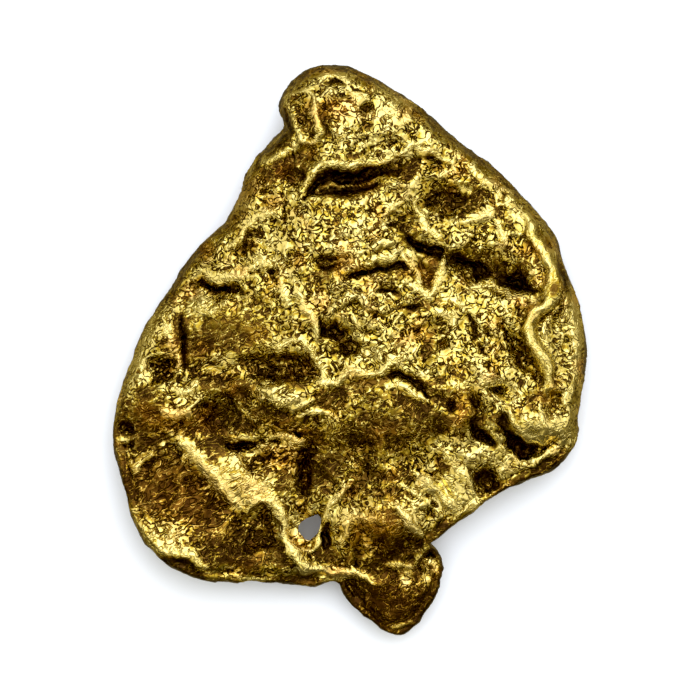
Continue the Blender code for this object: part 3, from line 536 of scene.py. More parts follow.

# Patches of thicker film and painted shade and, where the strength is negative, of barer metal
# and painted highlight: strength, centre, half-axes and turn in degrees
FILM_AND_PAINTED_LIGHT_PATCHES = {
    "crease": (0.40, (-0.13, 4.62), (1.29, 0.28), 10),
    "north_hollow": (0.28, (2.67, 4.20), (0.95, 0.39), 8),
    "right_dent": (0.28, (3.99, 2.16), (1.29, 0.42), -22),
    "south_pits": (0.30, (-0.27, 0.31), (0.56, 0.36), -40),
    "west_slope": (0.25, (-3.77, 0.31), (1.18, 0.62), 0),
    "west_hollow": (0.22, (-1.86, -0.53), (1.01, 0.45), 6),
    "west_pit": (0.42, (-3.63, -1.93), (1.06, 0.50), 0),
    "west_edge": (0.34, (-6.37, -2.38), (0.45, 0.34), 0),
    "front_band": (0.34, (1.13, -2.38), (2.69, 0.36), -3),
    "front_slope": (0.20, (1.27, -1.48), (2.10, 0.67), 0),
    "low_left": (0.40, (-4.80, -4.37), (1.85, 1.40), -20),
    "low_hollow": (0.28, (-2.45, -5.49), (1.01, 0.84), 0),
    "stem": (0.40, (-1.08, -3.39), (0.50, 1.06), -8),
    "middle_gully": (0.16, (0.29, -3.39), (0.95, 1.01), 0),
    "dome": (0.30, (0.99, -5.21), (1.23, 0.95), 0),
    "tail": (0.58, (1.36, -7.03), (1.57, 1.23), 0),
    "edge_pit": (0.36, (3.85, -3.64), (0.39, 0.34), 0),
    "hill_slit": (0.30, (3.77, -2.32), (0.73, 0.28), -50),
    "lower_ridge": (-0.35, (-3.79, -3.72), (1.34, 0.20), -50),
    "ridge_foot": (-0.70, (-2.90, -3.89), (0.95, 0.39), -38),
    "low_left_rim": (-0.46, (-4.80, -5.29), (1.18, 0.36), -32),
    "hill": (-0.55, (5.47, -2.27), (0.84, 0.39), 0),
    "hole_arc": (-0.75, (-1.61, -5.15), (0.90, 0.34), -71),
    "hole_foot": (-0.50, (-0.21, -6.30), (1.23, 0.22), -3),
    "east_wedge": (-0.90, (2.90, -4.12), (0.84, 0.56), -50),
    "east_slope": (-0.44, (2.93, -2.49), (0.42, 0.28), 0),
    "east_block": (-0.28, (3.26, -2.74), (0.84, 0.45), 10),
    "plateau": (-0.16, (0.63, 3.47), (1.74, 0.90), 0),
    "north_west": (-0.16, (-2.73, 3.05), (1.40, 0.62), 45),
    "mid_mound": (-0.30, (-1.75, -1.26), (0.84, 0.36), -8),
    "leaf_bank": (-0.42, (-4.19, 1.15), (0.73, 0.34), 10),
    "west_crescent": (-0.44, (-4.58, -1.43), (0.45, 0.25), 0),
    "right_roll": (-0.18, (5.47, 0.81), (0.45, 2.24), 0),
    "right_side": (-0.36, (6.45, 0.11), (0.25, 1.85), 0),
    # Painted shade along the south-facing outer rim at the lower left
    "rim_under": (1.30, (-4.91, -6.13), (1.12, 0.31), -20),
    "arch_brow": (-0.75, (1.41, 5.40), (0.56, 0.25), 0),
    "rib_bank": (-0.34, (1.69, 4.17), (0.45, 0.39), 0),
    "west_bench_pit": (0.80, (-5.84, -0.98), (0.31, 0.25), 0),
    "neck_bench": (-0.55, (-1.78, 2.10), (0.56, 0.25), -28),
    "slot_bank": (0.30, (1.19, 2.32), (0.67, 0.31), 0),
    "north_west_pit": (0.58, (-2.73, 3.08), (0.53, 0.39), -15),
    "neck_floor": (0.30, (-1.83, 4.96), (0.70, 0.34), -10),
    "east_bank": (-0.40, (1.64, -0.03), (0.50, 0.25), 0),
    "apron_foot": (0.46, (2.42, -1.82), (0.90, 0.25), -10),
    "stem_bank": (0.50, (-1.78, -3.72), (0.25, 0.34), 0),
    "basin_pit": (0.85, (-3.63, -5.74), (0.73, 0.31), 0),
    "gap_pit": (0.44, (-0.83, -5.80), (0.56, 0.22), 0),
    "dome_crest": (-0.50, (0.07, -4.45), (0.45, 0.22), 0),
    "east_lip": (-0.40, (1.83, -4.73), (0.28, 0.48), 20),
    "notch": (0.75, (2.59, -4.98), (0.34, 0.22), 0),
    "tail_edge": (-0.70, (2.39, -6.10), (0.20, 0.39), 0),
    "outer_bank": (-0.26, (5.95, 0.53), (0.39, 1.23), 0),
    "hill_bank": (-0.55, (5.78, -2.77), (0.62, 0.25), 20),
    "foot_bank": (-0.50, (4.21, -3.22), (0.76, 0.28), -35),
    "hole_bank": (-0.50, (0.63, -5.52), (0.28, 0.36), 0),
    "east_edge": (-0.70, (5.61, 3.39), (0.22, 0.90), 26),
    "nw_edge": (-0.60, (-2.84, 4.73), (0.20, 0.90), -28),
    "west_edge_high": (-0.66, (-5.64, 0.45), (0.36, 1.18), -36),
    "west_edge_low": (-0.70, (-6.48, -1.26), (0.20, 0.73), -16),
    "west_dark": (0.66, (-2.87, -1.06), (0.42, 0.34), 0),
    "channel_bank": (0.42, (1.64, 3.30), (0.70, 0.22), 15),
    "mid_band": (0.32, (2.25, 1.23), (1.06, 0.20), 0),
    "roll_bank": (0.76, (5.73, 1.76), (0.25, 0.34), 0),
    "edge_pocket": (0.50, (5.00, 2.41), (0.22, 0.39), 0),
    "ring_floor": (0.36, (4.30, 3.95), (0.28, 0.62), 0),
    "knob_dip_a": (0.40, (-0.27, 7.00), (0.50, 0.31), 15),
    "knob_dip_b": (0.44, (-0.66, 6.27), (0.39, 0.22), 0),
    "knob_dip_c": (0.44, (0.43, 6.24), (0.42, 0.25), 0),
    "stem_top": (0.60, (-0.63, -3.28), (0.25, 0.31), 0),
    "gully_east": (0.34, (1.53, -3.70), (0.34, 0.45), 0),
    "low_nick": (0.60, (-6.31, -3.72), (0.25, 0.39), 0),
    # Painted shade along the tail's south-west side
    "tail_side": (1.20, (0.13, -7.20), (0.78, 0.31), -44),
    # Painted shade along the lower right edge
    "block_foot": (1.00, (5.42, -3.56), (0.67, 0.25), 24),
    "slot_brow": (-0.36, (-0.10, 2.77), (0.28, 0.62), 18),
    "leaf_brow": (-0.42, (-4.30, 1.65), (0.28, 0.34), 0),
    "crest_brow": (-0.45, (0.60, -0.08), (0.50, 0.22), -35),
    "spine_brow": (-0.40, (-3.51, -0.42), (0.50, 0.25), -20),
    "patch_brow": (-0.65, (3.93, -0.95), (0.31, 0.22), 0),
    "roll_side": (-0.70, (4.75, -1.23), (0.28, 0.22), 0),
    "dent_end": (-0.60, (5.33, 1.51), (0.22, 0.22), 0),
    "slit_brow": (-0.60, (-2.62, -2.83), (0.95, 0.22), 8),
    "ridge_end": (-0.75, (-2.84, -4.42), (0.39, 0.22), 0),
    "low_edge_bank": (-0.30, (-2.45, -6.27), (1.29, 0.20), 0),
    "tail_brow": (-0.75, (1.72, -6.41), (0.25, 0.28), 0),
    "knob_neck": (0.70, (-1.67, 5.80), (0.25, 0.48), -20),
    "crease_east": (0.90, (1.78, 5.04), (0.28, 0.25), 0),
    "crease_apron": (0.34, (-0.27, 3.86), (0.90, 0.34), 0),
    "valley_side": (0.52, (2.45, 2.27), (0.22, 0.45), 0),
    "arch_side": (0.36, (3.54, 4.62), (0.25, 0.73), 14),
    "spine_west": (1.00, (-4.55, 0.84), (0.22, 0.28), 0),
    "spine_east": (0.50, (-4.19, -0.03), (0.25, 0.31), 0),
    "slot_end": (0.65, (-3.77, -2.60), (0.25, 0.34), 0),
    "mid_pit": (0.70, (-1.53, -1.09), (0.36, 0.22), 0),
    "crescent_foot": (0.60, (-2.03, -1.93), (0.56, 0.22), 0),
    # Painted shade along the lower right edge
    "low_right_edge": (0.60, (4.21, -4.23), (1.74, 0.11), 31),
    "basin_east": (0.42, (-2.06, -4.51), (0.42, 0.25), 15),
    # Painted shade along the south rim
    "south_rim": (0.55, (-2.28, -6.52), (1.96, 0.14), 0),
    "front_edge": (0.85, (2.31, -1.04), (0.56, 0.25), 0),
    "west_bench": (0.34, (-5.59, -1.65), (0.67, 0.45), 30),
    "ridge_side": (-0.45, (-2.34, -3.89), (0.39, 0.28), 0),
    "dome_top": (0.34, (0.52, -4.79), (0.67, 0.22), 0),
    "slit_side": (0.70, (2.84, -3.11), (0.22, 0.34), 0),
    "basin_foot": (0.55, (-3.01, -6.10), (0.45, 0.22), 0),
    "wedge_edge": (-0.60, (3.21, -4.40), (0.34, 0.25), 35),
    "knob_top": (0.46, (0.46, 7.22), (0.28, 0.28), 0),
    "basin_bank": (0.60, (-1.72, -5.80), (0.39, 0.34), 0),
    "west_bits": (0.42, (-5.33, 0.36), (0.34, 0.34), 0),
    "hill_north": (0.60, (4.44, -1.99), (0.42, 0.20), 0),
    "rim_bank": (-0.55, (-4.83, -5.10), (0.34, 0.22), 0),
    "mid_line": (-0.30, (0.01, 1.46), (1.23, 0.20), 0),
    "flank_top": (-0.45, (-2.45, -3.67), (0.56, 0.22), -35),
    "bench_top": (-0.45, (-2.09, 2.88), (0.39, 0.28), 0),
    "hill_east": (-0.50, (6.23, -2.38), (0.34, 0.28), 0),
    "kidney_side": (0.45, (-0.80, 6.47), (0.25, 0.45), 0),
    "spine_side": (-0.45, (-4.86, 0.53), (0.22, 0.62), -20),
    "ridge_line": (-0.60, (-3.40, -4.14), (0.62, 0.22), -20),
    "flank_end": (-0.50, (-1.86, -4.09), (0.34, 0.20), -40),
    "gully_lip": (-0.45, (2.25, -3.92), (0.36, 0.22), 0),
    "block_side": (0.80, (5.08, -3.58), (0.39, 0.22), 24),
    "ring_side": (-0.60, (4.05, 3.89), (0.22, 0.25), 0),
    "blob_side": (0.40, (-0.60, 2.18), (0.50, 0.22), 0),
    "west_floor_dark": (0.45, (-3.79, -1.04), (0.39, 0.22), 0),
    "west_low": (0.35, (-5.61, -2.46), (0.50, 0.28), 0),
    "right_foot": (-0.50, (6.45, -1.37), (0.17, 0.45), 0),
    "west_brow": (-0.75, (-5.98, -0.42), (0.36, 0.25), 0),
    "east_rim": (-0.55, (6.37, 1.15), (0.17, 0.34), 0),
    "tail_right": (0.60, (2.25, -7.25), (0.20, 0.50), -35),
    "foot_side": (0.60, (5.89, -3.16), (0.34, 0.22), 35),
    "knob": (-0.32, (0.01, 6.64), (1.74, 1.01), 10),
    "kidney": (0.34, (-1.30, 6.50), (0.34, 0.56), 0),
    "neck_edge": (0.40, (-2.17, 5.15), (0.25, 0.67), -28),
    "neck_corner": (0.40, (-1.39, 5.15), (0.39, 0.39), 0),
    "roll_foot": (0.45, (5.28, -1.37), (0.31, 0.28), 0),
    "mound_east": (0.40, (-0.55, -1.37), (0.31, 0.50), -20),
    "hole_east": (-0.60, (-1.05, -4.37), (0.25, 0.28), 0),
    "fork": (0.42, (2.20, 0.11), (0.31, 0.28), 0),
    "band_top": (0.36, (0.07, 5.29), (0.39, 0.22), 0),
    "upper_side": (-0.50, (4.83, 3.72), (0.28, 0.39), 20),
}

# Smooth, polished places: strength, half-width and path
POLISHED = {
    "right_roll": (0.9, 0.27, ROLLS["right_roll"][2]),
    "lower_ridge": (0.7, 0.14, LIPS["lower_ridge"][2]),
    "ridge_flank": (0.5, 0.36, ROLLS["ridge_flank"][2]),
    "hole_arc": (0.8, 0.14, LIPS["hole_arc"][2]),
    "low_left_rim": (0.7, 0.16, LIPS["low_left_rim"][2]),
    "hill": (0.8, 0.32, ((4.76, -2.05), (5.12, -2.27), (5.50, -2.35))),
    "olive_valley": (0.7, 0.30, ((2.07, 2.40), (2.21, 1.70))),
    "west_slope": (0.6, 0.75, ((-3.9, 0.75), (-2.6, 0.55))),
    "front_slope": (0.6, 0.22, ((-0.45, -1.05), (0.65, -0.95), (1.20, -0.70))),
    "brown_dome": (0.5, 0.60, ((0.70, -5.05), (1.45, -4.70))),
    "knob_hollow": (0.6, 0.30, ((-1.50, 5.45), (-1.10, 5.40))),
    "west_floor": (0.6, 0.36, ((-6.0, -1.75), (-5.3, -1.90))),
    "ochre_flat": (0.6, 0.30, ((3.05, -0.75), (3.30, -1.30))),
}

# Where the metal is folded into fine wrinkles rather than grain: strength, centre, half-axes, turn
WRINKLED = {
    "low_left": (1.0, (-4.3, -3.9), (2.4, 1.6), -10),
    "west": (0.8, (-4.1, 0.1), (1.7, 1.3), 0),
    "west_floor": (0.9, (-5.3, -2.0), (1.3, 0.8), 0),
    "slit_bank": (0.8, (-2.3, -3.1), (1.1, 0.7), 0),
}

# Rust-orange iron stain: strength, centre, half-axes, turn
STAINED = {
    "neck": (0.4, (-2.10, 4.12), (0.35, 0.22), 20),
    "band": (0.3, (-2.75, 4.50), (0.60, 0.30), 40),
    "dent": (0.45, (4.80, 1.30), (0.30, 0.16), -20),
    "leaf": (0.35, (-3.05, 2.20), (0.26, 0.16), 0),
    "valley": (0.35, (2.25, 2.05), (0.18, 0.30), 0),
    "flank": (0.25, (-2.75, -3.90), (0.70, 0.35), -35),
    "slit_bank": (0.45, (-1.85, -3.05), (0.75, 0.42), 0),
    "brown_dome": (0.42, (0.75, -5.10), (0.90, 0.70), 0),
    "west_floor": (0.40, (-5.10, -1.95), (1.00, 0.45), 0),
    "pit_bank": (0.3, (-1.50, -2.30), (0.90, 0.35), -15),
    "low_left": (0.32, (-4.70, -4.10), (1.70, 1.10), -25),
    "tail": (0.28, (1.20, -7.00), (1.20, 0.90), 20),
}


def smooth_curve(points, closed=False):
    """Catmull-Rom curve: each span is the cubic whose end slopes run between the neighbours."""
    points = np.asarray(points, dtype=float)
    if closed:
        padded = np.vstack([points[-1:], points, points[:2]])
    else:
        padded = np.vstack([2 * points[0] - points[1], points, 2 * points[-1] - points[-2]])
    t = np.linspace(0, 1, CURVE_STEPS, endpoint=False)[None, :, None]
    before, start, end, after = (padded[k:len(padded) - 3 + k, None, :] for k in range(4))
    curve = 0.5 * (2 * start + (end - before) * t
                   + (2 * before - 5 * start + 4 * end - after) * t ** 2
                   + (3 * start - before - 3 * end + after) * t ** 3).reshape(-1, 2)
    return curve if closed else np.vstack([curve, points[-1:]])


def path_distance(x, y, path, reach=np.inf):
    """Plan distance to a path, and the share of the path's length at its nearest point.

    Places further than reach from the path's box keep the distance inf.
    """
    nearest = np.full(x.shape, np.inf)
    share = np.zeros(x.shape)
    low, high = path.min(axis=0) - reach, path.max(axis=0) + reach
    near = (x > low[0]) & (x < high[0]) & (y > low[1]) & (y < high[1])
    px, py = x[near], y[near]
    best, where = np.full(px.shape, np.inf), np.zeros(px.shape)
    spans = np.linalg.norm(np.diff(path, axis=0), axis=1)
    arc = np.r_[0, np.cumsum(spans)] / spans.sum()
    for k, (start, end) in enumerate(zip(path[:-1], path[1:])):
        run = end - start
        along = ((px - start[0]) * run[0] + (py - start[1]) * run[1]) / max(run @ run, 1e-12)
        along = np.clip(along, 0, 1)
        gap = np.hypot(px - start[0] - along * run[0], py - start[1] - along * run[1])
        closer = gap < best
        best = np.where(closer, gap, best)
        where = np.where(closer, arc[k] + along * (arc[k + 1] - arc[k]), where)
    nearest[near], share[near] = best, where
    return nearest, share


def swell(x, y, centre, half_axes, turn=0):
    """Bell over an ellipse: exp of minus the squared elliptical distance to BELL_POWER."""
    angle = np.radians(turn)
    across = (x - centre[0]) * np.cos(angle) + (y - centre[1]) * np.sin(angle)
    along = (y - centre[1]) * np.cos(angle) - (x - centre[0]) * np.sin(angle)
    return np.exp(-((across / half_axes[0]) ** 2 + (along / half_axes[1]) ** 2) ** BELL_POWER)


def ease(value):
    """Smooth step from 0 to 1: 3 t squared minus 2 t cubed."""
    value = np.clip(value, 0, 1)
    return value * value * (3 - 2 * value)


def lattice_noise(place, seed):
    """Gradient noise from about -1 to 1.

    Each corner of the lattice has a slope of unit length, picked by hashing the corner's place
    and the seed. At a place the eight slopes round it give heights, blended by the quintic
    6 t^5 - 15 t^4 + 10 t^3 along each side of the cell.
    """
    cell = np.floor(place).astype(np.int64)
    part = place - cell
    blend = part ** 3 * (part * (part * 6 - 15) + 10)
    total = 0.0
    for corner in range(8):
        bit = np.array([corner & 1, corner >> 1 & 1, corner >> 2 & 1])
        code = (cell + bit) @ HASH_AXES + seed * HASH_SEED
        for shift, factor in HASH_ROUNDS:
            code = (code ^ (code >> shift)) * factor & HASH_BITS
        turn = (code & HALF_BITS) * (2 * np.pi / HALF_BITS)
        rise = (code >> 16) * (2 / HALF_BITS) - 1
        flat = np.sqrt(1 - rise ** 2)
        slope = np.stack([flat * np.cos(turn), flat * np.sin(turn), rise], axis=-1)
        weight = np.prod(np.where(bit, blend, 1 - blend), axis=-1)
        total = total + weight * ((part - bit) * slope).sum(axis=-1)
    return total * NOISE_GAIN


def layered_noise(place, size, seed, layers=3):
    """Sum of gradient noises, each half the size and half the height of the one before."""
    total = 0.0
    for layer in range(layers):
        finer = 2 ** layer
        total = total + lattice_noise(place * finer / size + LAYER_SHIFT * layer, seed + layer) / finer
    return total


def warped(place, amount, size, seed):
    """The places, each pushed by up to amount along a slow noise, so that patterns meander."""
    push = np.stack([lattice_noise(place / size + AXIS_SHIFT * k, seed + k) for k in range(3)], axis=-1)
    return place + amount * push


def worms(place, size, seed):
    """Meandering crests from WORM_FLOOR to 1: one less the steepened size of a warped noise."""
    wandering = warped(place, WORM_WARP[0] * size, WORM_WARP[1] * size, seed + WARP_SEED)
    return np.clip(1 - WORM_SLOPE * np.abs(lattice_noise(wandering / size, seed)), WORM_FLOOR, 1)


def billows(place, size, seed):
    """Rounded blobs parted by sharp valleys: the steepened size of a warped noise, cut off flat."""
    wandering = warped(place, GRAIN_WARP[0] * size, GRAIN_WARP[1] * size, seed + WARP_SEED)
    return np.clip(WORM_SLOPE * np.abs(lattice_noise(wandering / size, seed)), 0, BILLOW_TOP)


def outline_curve():
    """The outline as a closed curve, anticlockwise, and each ray's turn towards its normal."""
    loop = smooth_curve(OUTLINE[::-1], closed=True)
    tangent = np.roll(loop, -1, axis=0) - np.roll(loop, 1, axis=0)
    normal = np.stack([tangent[:, 1], -tangent[:, 0]], axis=1)
    normal /= np.linalg.norm(normal, axis=1)[:, None]
    ray = loop - np.array(HEART)
    turn = SQUARE_ON * (np.linalg.norm(ray, axis=1)[:, None] * normal - ray)
    even = np.hanning(TURN_SPAN + 2)[1:-1]
    half = TURN_SPAN // 2
    turn = np.stack([np.convolve(np.r_[c[-half:], c, c[:half]], even / even.sum(), "valid")
                     for c in turn.T], axis=1)
    return loop, turn


def along_loop(loop, quarter, *values):
    """Each value, given at the loop's points, read at quarters of its length from 0 to 4."""
    closed = np.vstack([loop, loop[:1]])
    arc = np.r_[0, np.cumsum(np.linalg.norm(np.diff(closed, axis=0), axis=1))]
    place = np.mod(quarter, 4) / 4 * arc[-1]
    return [np.stack([np.interp(place, arc, np.r_[v[:, k], v[:1, k]]) for k in (0, 1)], axis=-1)
            for v in (loop, *values)]


def square_ring(u, v):
    """Which square ring a place is on, from 0 to 1, and how many quarters round it, 0 to 4."""
    ring = np.maximum(np.abs(u), np.abs(v))
    safe = np.where(ring > 0, ring, 1)
    on_right = (u == ring) & (v < ring)
    on_top = (v == ring) & (u > -ring)
    on_left = (u == -ring) & (v > -ring)
    quarter = np.select([on_right, on_top, on_left],
                        [0.5 + 0.5 * v / safe, 1.5 - 0.5 * u / safe, 2.5 - 0.5 * v / safe],
                        3.5 + 0.5 * u / safe)
    return ring, quarter


def outline_grid(loop, turn):
    """Plan places of the fine grid over the outline, and their rings from 0 to 1.

    Ring r goes to the outline shrunk towards the heart by r, crowded at the rim, and the rays
    turn late so that they meet the outline square-on.
    """
    steps = np.arange(FINE_CELLS + 1) * 2 / FINE_CELLS - 1
    ring, quarter = square_ring(*np.meshgrid(steps, steps, indexing="ij"))
    rim, bend = along_loop(loop, quarter, turn)
    reach = (ring + RIM_CROWDING * ring ** CROWDING_POWER * (1 - ring))[..., None]
    return HEART + reach * (rim - HEART) - reach ** TURN_POWER * (1 - reach) * bend, ring


def pulled_to_hole(plan, hole):
    """The plan places pulled towards the hole, and their rings round its middle point.

    Ring 1 lies on the hole's outline. Points inside it aren't used, and rings further out are
    pulled along with it, less and less out to ring HOLE_SPREAD.
    """
    centre = hole.mean(axis=0)
    gap = np.hypot(*(plan - centre).transpose(2, 0, 1))
    middle = np.array(np.unravel_index(gap.argmin(), gap.shape)) // 2 * 2   # a point of both grids
    steps = [(np.arange(FINE_CELLS + 1) - m) / HOLE_CELLS for m in middle]
    ring, quarter = square_ring(*np.meshgrid(*steps, indexing="ij"))

    # The hole's outline is read from the bearing of ring 1's first corner
    corner = plan[middle[0] + HOLE_CELLS, middle[1] - HOLE_CELLS]
    bearing = np.arctan2(*(hole - centre).T[::-1])
    wanted = np.arctan2(*(corner - centre)[::-1])
    first = np.abs(np.angle(np.exp(1j * (bearing - wanted)))).argmin()
    target, = along_loop(np.roll(hole, -first, axis=0), quarter)

    # Where ring 1 lay before, at the same share of the way round it
    side = np.clip(2 * (quarter % 1) - 1, -1, 1)
    whole = np.ones(side.shape)
    sides = [quarter < 1, quarter < 2, quarter < 3]
    edge_i = np.select(sides, [whole, -side, -whole], side)
    edge_j = np.select(sides, [side, whole, -side], -whole)
    edge = sample_grid(plan, middle[0] + HOLE_CELLS * edge_i, middle[1] + HOLE_CELLS * edge_j)
    pull = 1 - ease((ring - 1) / (HOLE_SPREAD - 1))
    return plan + (pull * (ring >= 1))[..., None] * (target - edge), ring


def sample_grid(values, i, j):
    """Values of a grid at fractional rows and columns, blended between the four neighbours."""
    low_i = np.clip(np.floor(i).astype(int), 0, values.shape[0] - 2)
    low_j = np.clip(np.floor(j).astype(int), 0, values.shape[1] - 2)
    a, b = (i - low_i)[..., None], (j - low_j)[..., None]
    return ((1 - a) * (1 - b) * values[low_i, low_j] + a * (1 - b) * values[low_i + 1, low_j]
            + (1 - a) * b * values[low_i, low_j + 1] + a * b * values[low_i + 1, low_j + 1])


def rounded(distance, radius):
    """Quarter-round profile: 0 on the edge, 1 from one radius inwards."""
    return np.sqrt(1 - np.clip(1 - distance / radius, 0, 1) ** 2)


def rim_height(x, y):
    """Level of the rim's widest line: a slow rise and fall across the nugget, low at the tail."""
    sway = sum(share * np.sin(along_x * x + along_y * y + phase)
               for share, along_x, along_y, phase in RIM_WAVES)
    return RIM_LEVEL + RIM_SWAY * sway - TAIL_SINK * swell(x, y, *TAIL)


def stoutness(x, y):
    """Share of the full edge height: thinner at the lower left, stouter at the upper right."""
    return 1 + THIN_TO_TAIL * np.tanh((SLANT * x + y) / SLANT_SPAN)


def underside(x, y, ring, shore, hole_gap):
    """Height of the underside: a worn belly with dents, flat where its pads meet the plane."""
    edge = EDGE_DROP * np.sqrt(stoutness(x, y)) * rounded(shore, EDGE_RADIUS)
    z = rim_height(x, y) - edge - BELLY_DROP * (1 - ring ** CROWN_POWER)
    inland = ease(shore / SHORE)
    for height, centre, half_axes, turn in UNDER_DENTS.values():
        z = z + inland * height * swell(x, y, centre, half_axes, turn)
    for depth, centre, half_axes in PADS.values():
        z = z - inland * depth * swell(x, y, centre, half_axes)
    return HOLE_LIP + (np.maximum(z, 0) - HOLE_LIP) * rounded(hole_gap, HOLE_BOWL)


def wander(x, y):
    """Plan places pushed about by two slow noises, so that landforms get ragged outlines."""
    place = np.stack([x, y, 0 * x], axis=-1)
    for k, (amount, size) in enumerate(WANDER):
        place = warped(place, amount, size, SEED["outlines"] + 4 * k)
    return place[..., 0], place[..., 1]


def along_path(x, y, path, half_width):
    """Distance to a path in half-widths, which taper to its free ends, and a fade towards them.

    Both follow the square root of the sine of the share of the way along, from 0 at either end.
    """
    gap, share = path_distance(x, y, smooth_curve(path), PATH_REACH * half_width)
    if np.allclose(path[0], path[-1]):
        return gap / half_width, 1.0
    middle = np.sqrt(np.sin(np.pi * np.clip(share, 0, 1)))
    width, height = (least + (1 - least) * middle for least in TAPER)
    return gap / (half_width * width), height


def upper_face(x, y, ring, shore, hole_gap):
    """Height of the upper face, and how near each place is to a crest's and a slot's line.

    A rounded edge and a low crown carry every landform. Across its path, with the distance in
    half-widths, a rolled crest is exp of minus the distance to the power 4, a trough and a lip
    are exp of minus its square, and a slot is one over one plus its power 4.
    """
    thin_tail = 1 - TAIL_THIN * swell(x, y, *TAIL)
    edge = EDGE_RISE * stoutness(x, y) * thin_tail * rounded(shore, EDGE_RADIUS)
    z = rim_height(x, y) + edge + CROWN_RISE * (1 - ring ** CROWN_POWER)
    x, y = wander(x, y)
    form, crest, slot = (np.zeros(x.shape) for _ in range(3))
    for height, centre, half_axes, turn in KNOLLS.values():
        form += height * swell(x, y, centre, half_axes, turn)
    for height, half_width, path in ROLLS.values():
        gap, fade = along_path(x, y, path, half_width)
        form += height * fade * np.exp(-gap ** (4 if height > 0 else 2))
    for height, half_width, path in LIPS.values():
        gap, fade = along_path(x, y, path, LIP_WIDTH * half_width)
        bell = fade * np.exp(-gap ** 2)
        form += LIP_HEIGHT * height * bell
        crest = np.maximum(crest, bell)
    for depth, half_width, path in SLOTS.values():
        gap, fade = along_path(x, y, path, half_width)
        cut = fade / (1 + gap ** 4)
        form -= depth * cut
        slot = np.maximum(slot, cut)
    for drop, half_width, line in BRINKS.values():
        level = np.interp(x, *zip(*line))
        form -= drop * 0.5 * (1 + np.tanh((level - y) / half_width))
    z = z + ease(shore / SHORE) * form
    return z - (z - HOLE_LIP) * (1 - rounded(hole_gap, HOLE_BEVEL)), crest, slot


def corner_cells(cells, step, hole_ring):
    """Corner rows and columns of the cells kept, each step fine cells wide, anticlockwise."""
    low = np.arange(0, cells, step)
    i, j = (g.ravel() for g in np.meshgrid(low, low, indexing="ij"))
    i4 = np.stack([i, i + step, i + step, i], axis=1)
    j4 = np.stack([j, j, j + step, j + step], axis=1)
    kept = ~(hole_ring[i4, j4] <= 1).all(axis=1)
    return i4[kept], j4[kept]


def nugget_faces(hole_ring):
    """Faces of both grids as loops of point numbers, with the number of corners of each.

    The upper face has every point of the fine grid. The underside has every second one, except
    that along the rim and round the hole its cells also take the upper face's points between.
    """
    count = FINE_CELLS + 1
    upper = np.arange(count * count).reshape(count, count)
    row, column = np.meshgrid(np.arange(count), np.arange(count), indexing="ij")
    on_rim = (row == 0) | (row == FINE_CELLS) | (column == 0) | (column == FINE_CELLS)
    shared = on_rim | (hole_ring == 1)
    gone = hole_ring < 1
    lower = np.where(shared, upper, -1)
    own = (row % 2 == 0) & (column % 2 == 0) & ~shared & ~gone
    lower[own] = count * count + np.arange(own.sum())

    i4, j4 = corner_cells(FINE_CELLS, 1, hole_ring)
    top = upper[i4, j4]
    i4, j4 = corner_cells(FINE_CELLS, 2, hole_ring)
    i8 = np.stack([i4, (i4 + np.roll(i4, -1, axis=1)) // 2], axis=2).reshape(-1, 8)
    j8 = np.stack([j4, (j4 + np.roll(j4, -1, axis=1)) // 2], axis=2).reshape(-1, 8)
    between = np.tile([False, True], 4)
    used = np.where(between, shared[i8, j8], True)
    bottom, used = lower[i8, j8][:, ::-1], used[:, ::-1]
    loops = np.concatenate([top.ravel(), bottom[used]])
    sizes = np.concatenate([np.full(len(top), 4), used.sum(axis=1)])
    return loops, sizes, own


def point_normals(points, loops, sizes):
    """Unit normals: the cross products of each face's diagonals, summed at its points."""
    starts = np.r_[0, np.cumsum(sizes)[:-1]]
    third = np.where(sizes > 4, 3, 2)
    diagonal = points[loops[starts + third]] - points[loops[starts]]
    other = points[loops[starts + sizes - 1]] - points[loops[starts + 1]]
    facing = np.cross(diagonal, other)
    normal = np.stack([np.bincount(loops, np.repeat(facing[:, k], sizes), len(points))
                       for k in range(3)], axis=1)
    return normal / np.maximum(np.linalg.norm(normal, axis=1), 1e-12)[:, None]


def blurred(grid, reach):
    """A grid averaged over squares of the given reach, three times over, with its edges kept."""
    for _ in range(3):
        for axis in (0, 1):
            padded = np.pad(grid, [(reach + 1, reach) if k == axis else (0, 0) for k in (0, 1)], "edge")
            total = np.cumsum(padded, axis=axis)
            size = 2 * reach + 1
            ahead = np.take(total, range(size, total.shape[axis]), axis=axis)
            behind = np.take(total, range(0, total.shape[axis] - size), axis=axis)
            grid = (ahead - behind) / size
    return grid


def zone(x, y, zones):
    """The strongest of several soft ellipses at each place, from 0 to 1."""
    total = np.zeros(x.shape)
    for strength, centre, half_axes, turn in zones.values():
        total = np.maximum(total, strength * swell(x, y, centre, half_axes, turn))
    return total


def polish_at(x, y, shore):
    """How polished each place is: high along the worn outer band and on the polished places."""
    rim_polish, band, fade = RIM_POLISH
    total = rim_polish * (1 - ease((shore - band) / fade))
    for strength, half_width, path in POLISHED.values():
        gap, _ = path_distance(x, y, smooth_curve(path), PATH_REACH * half_width)
        total = np.maximum(total, strength * np.exp(-(gap / half_width) ** 2))
    return total


def grain_height(place, rough):
    """Grain's height over the landforms, in millimetres, and its valleys as a mask.

    Grain is the sum of rounded blobs at GRAIN_SIZE, with worm-like crests among them, of blobs
    half as big and of grit, each times its share and the roughness.
    """
    coarse = billows(place, GRAIN_SIZE, SEED["grain"])
    coarse = coarse + GRAIN_WORMS * worms(place, WORM_SIZE, SEED["worms"])
    fine = billows(place, FINE_SIZE, SEED["fine"])
    grit = lattice_noise(place / GRAIN_GRIT_SIZE, SEED["grit"])
    grain = sum(share * layer for share, layer in zip(GRAIN_MIX, (coarse, fine, grit)))
    return GRAIN_HEIGHT * rough * grain, rough * (1 - ease(coarse / VALLEY_LEVEL))


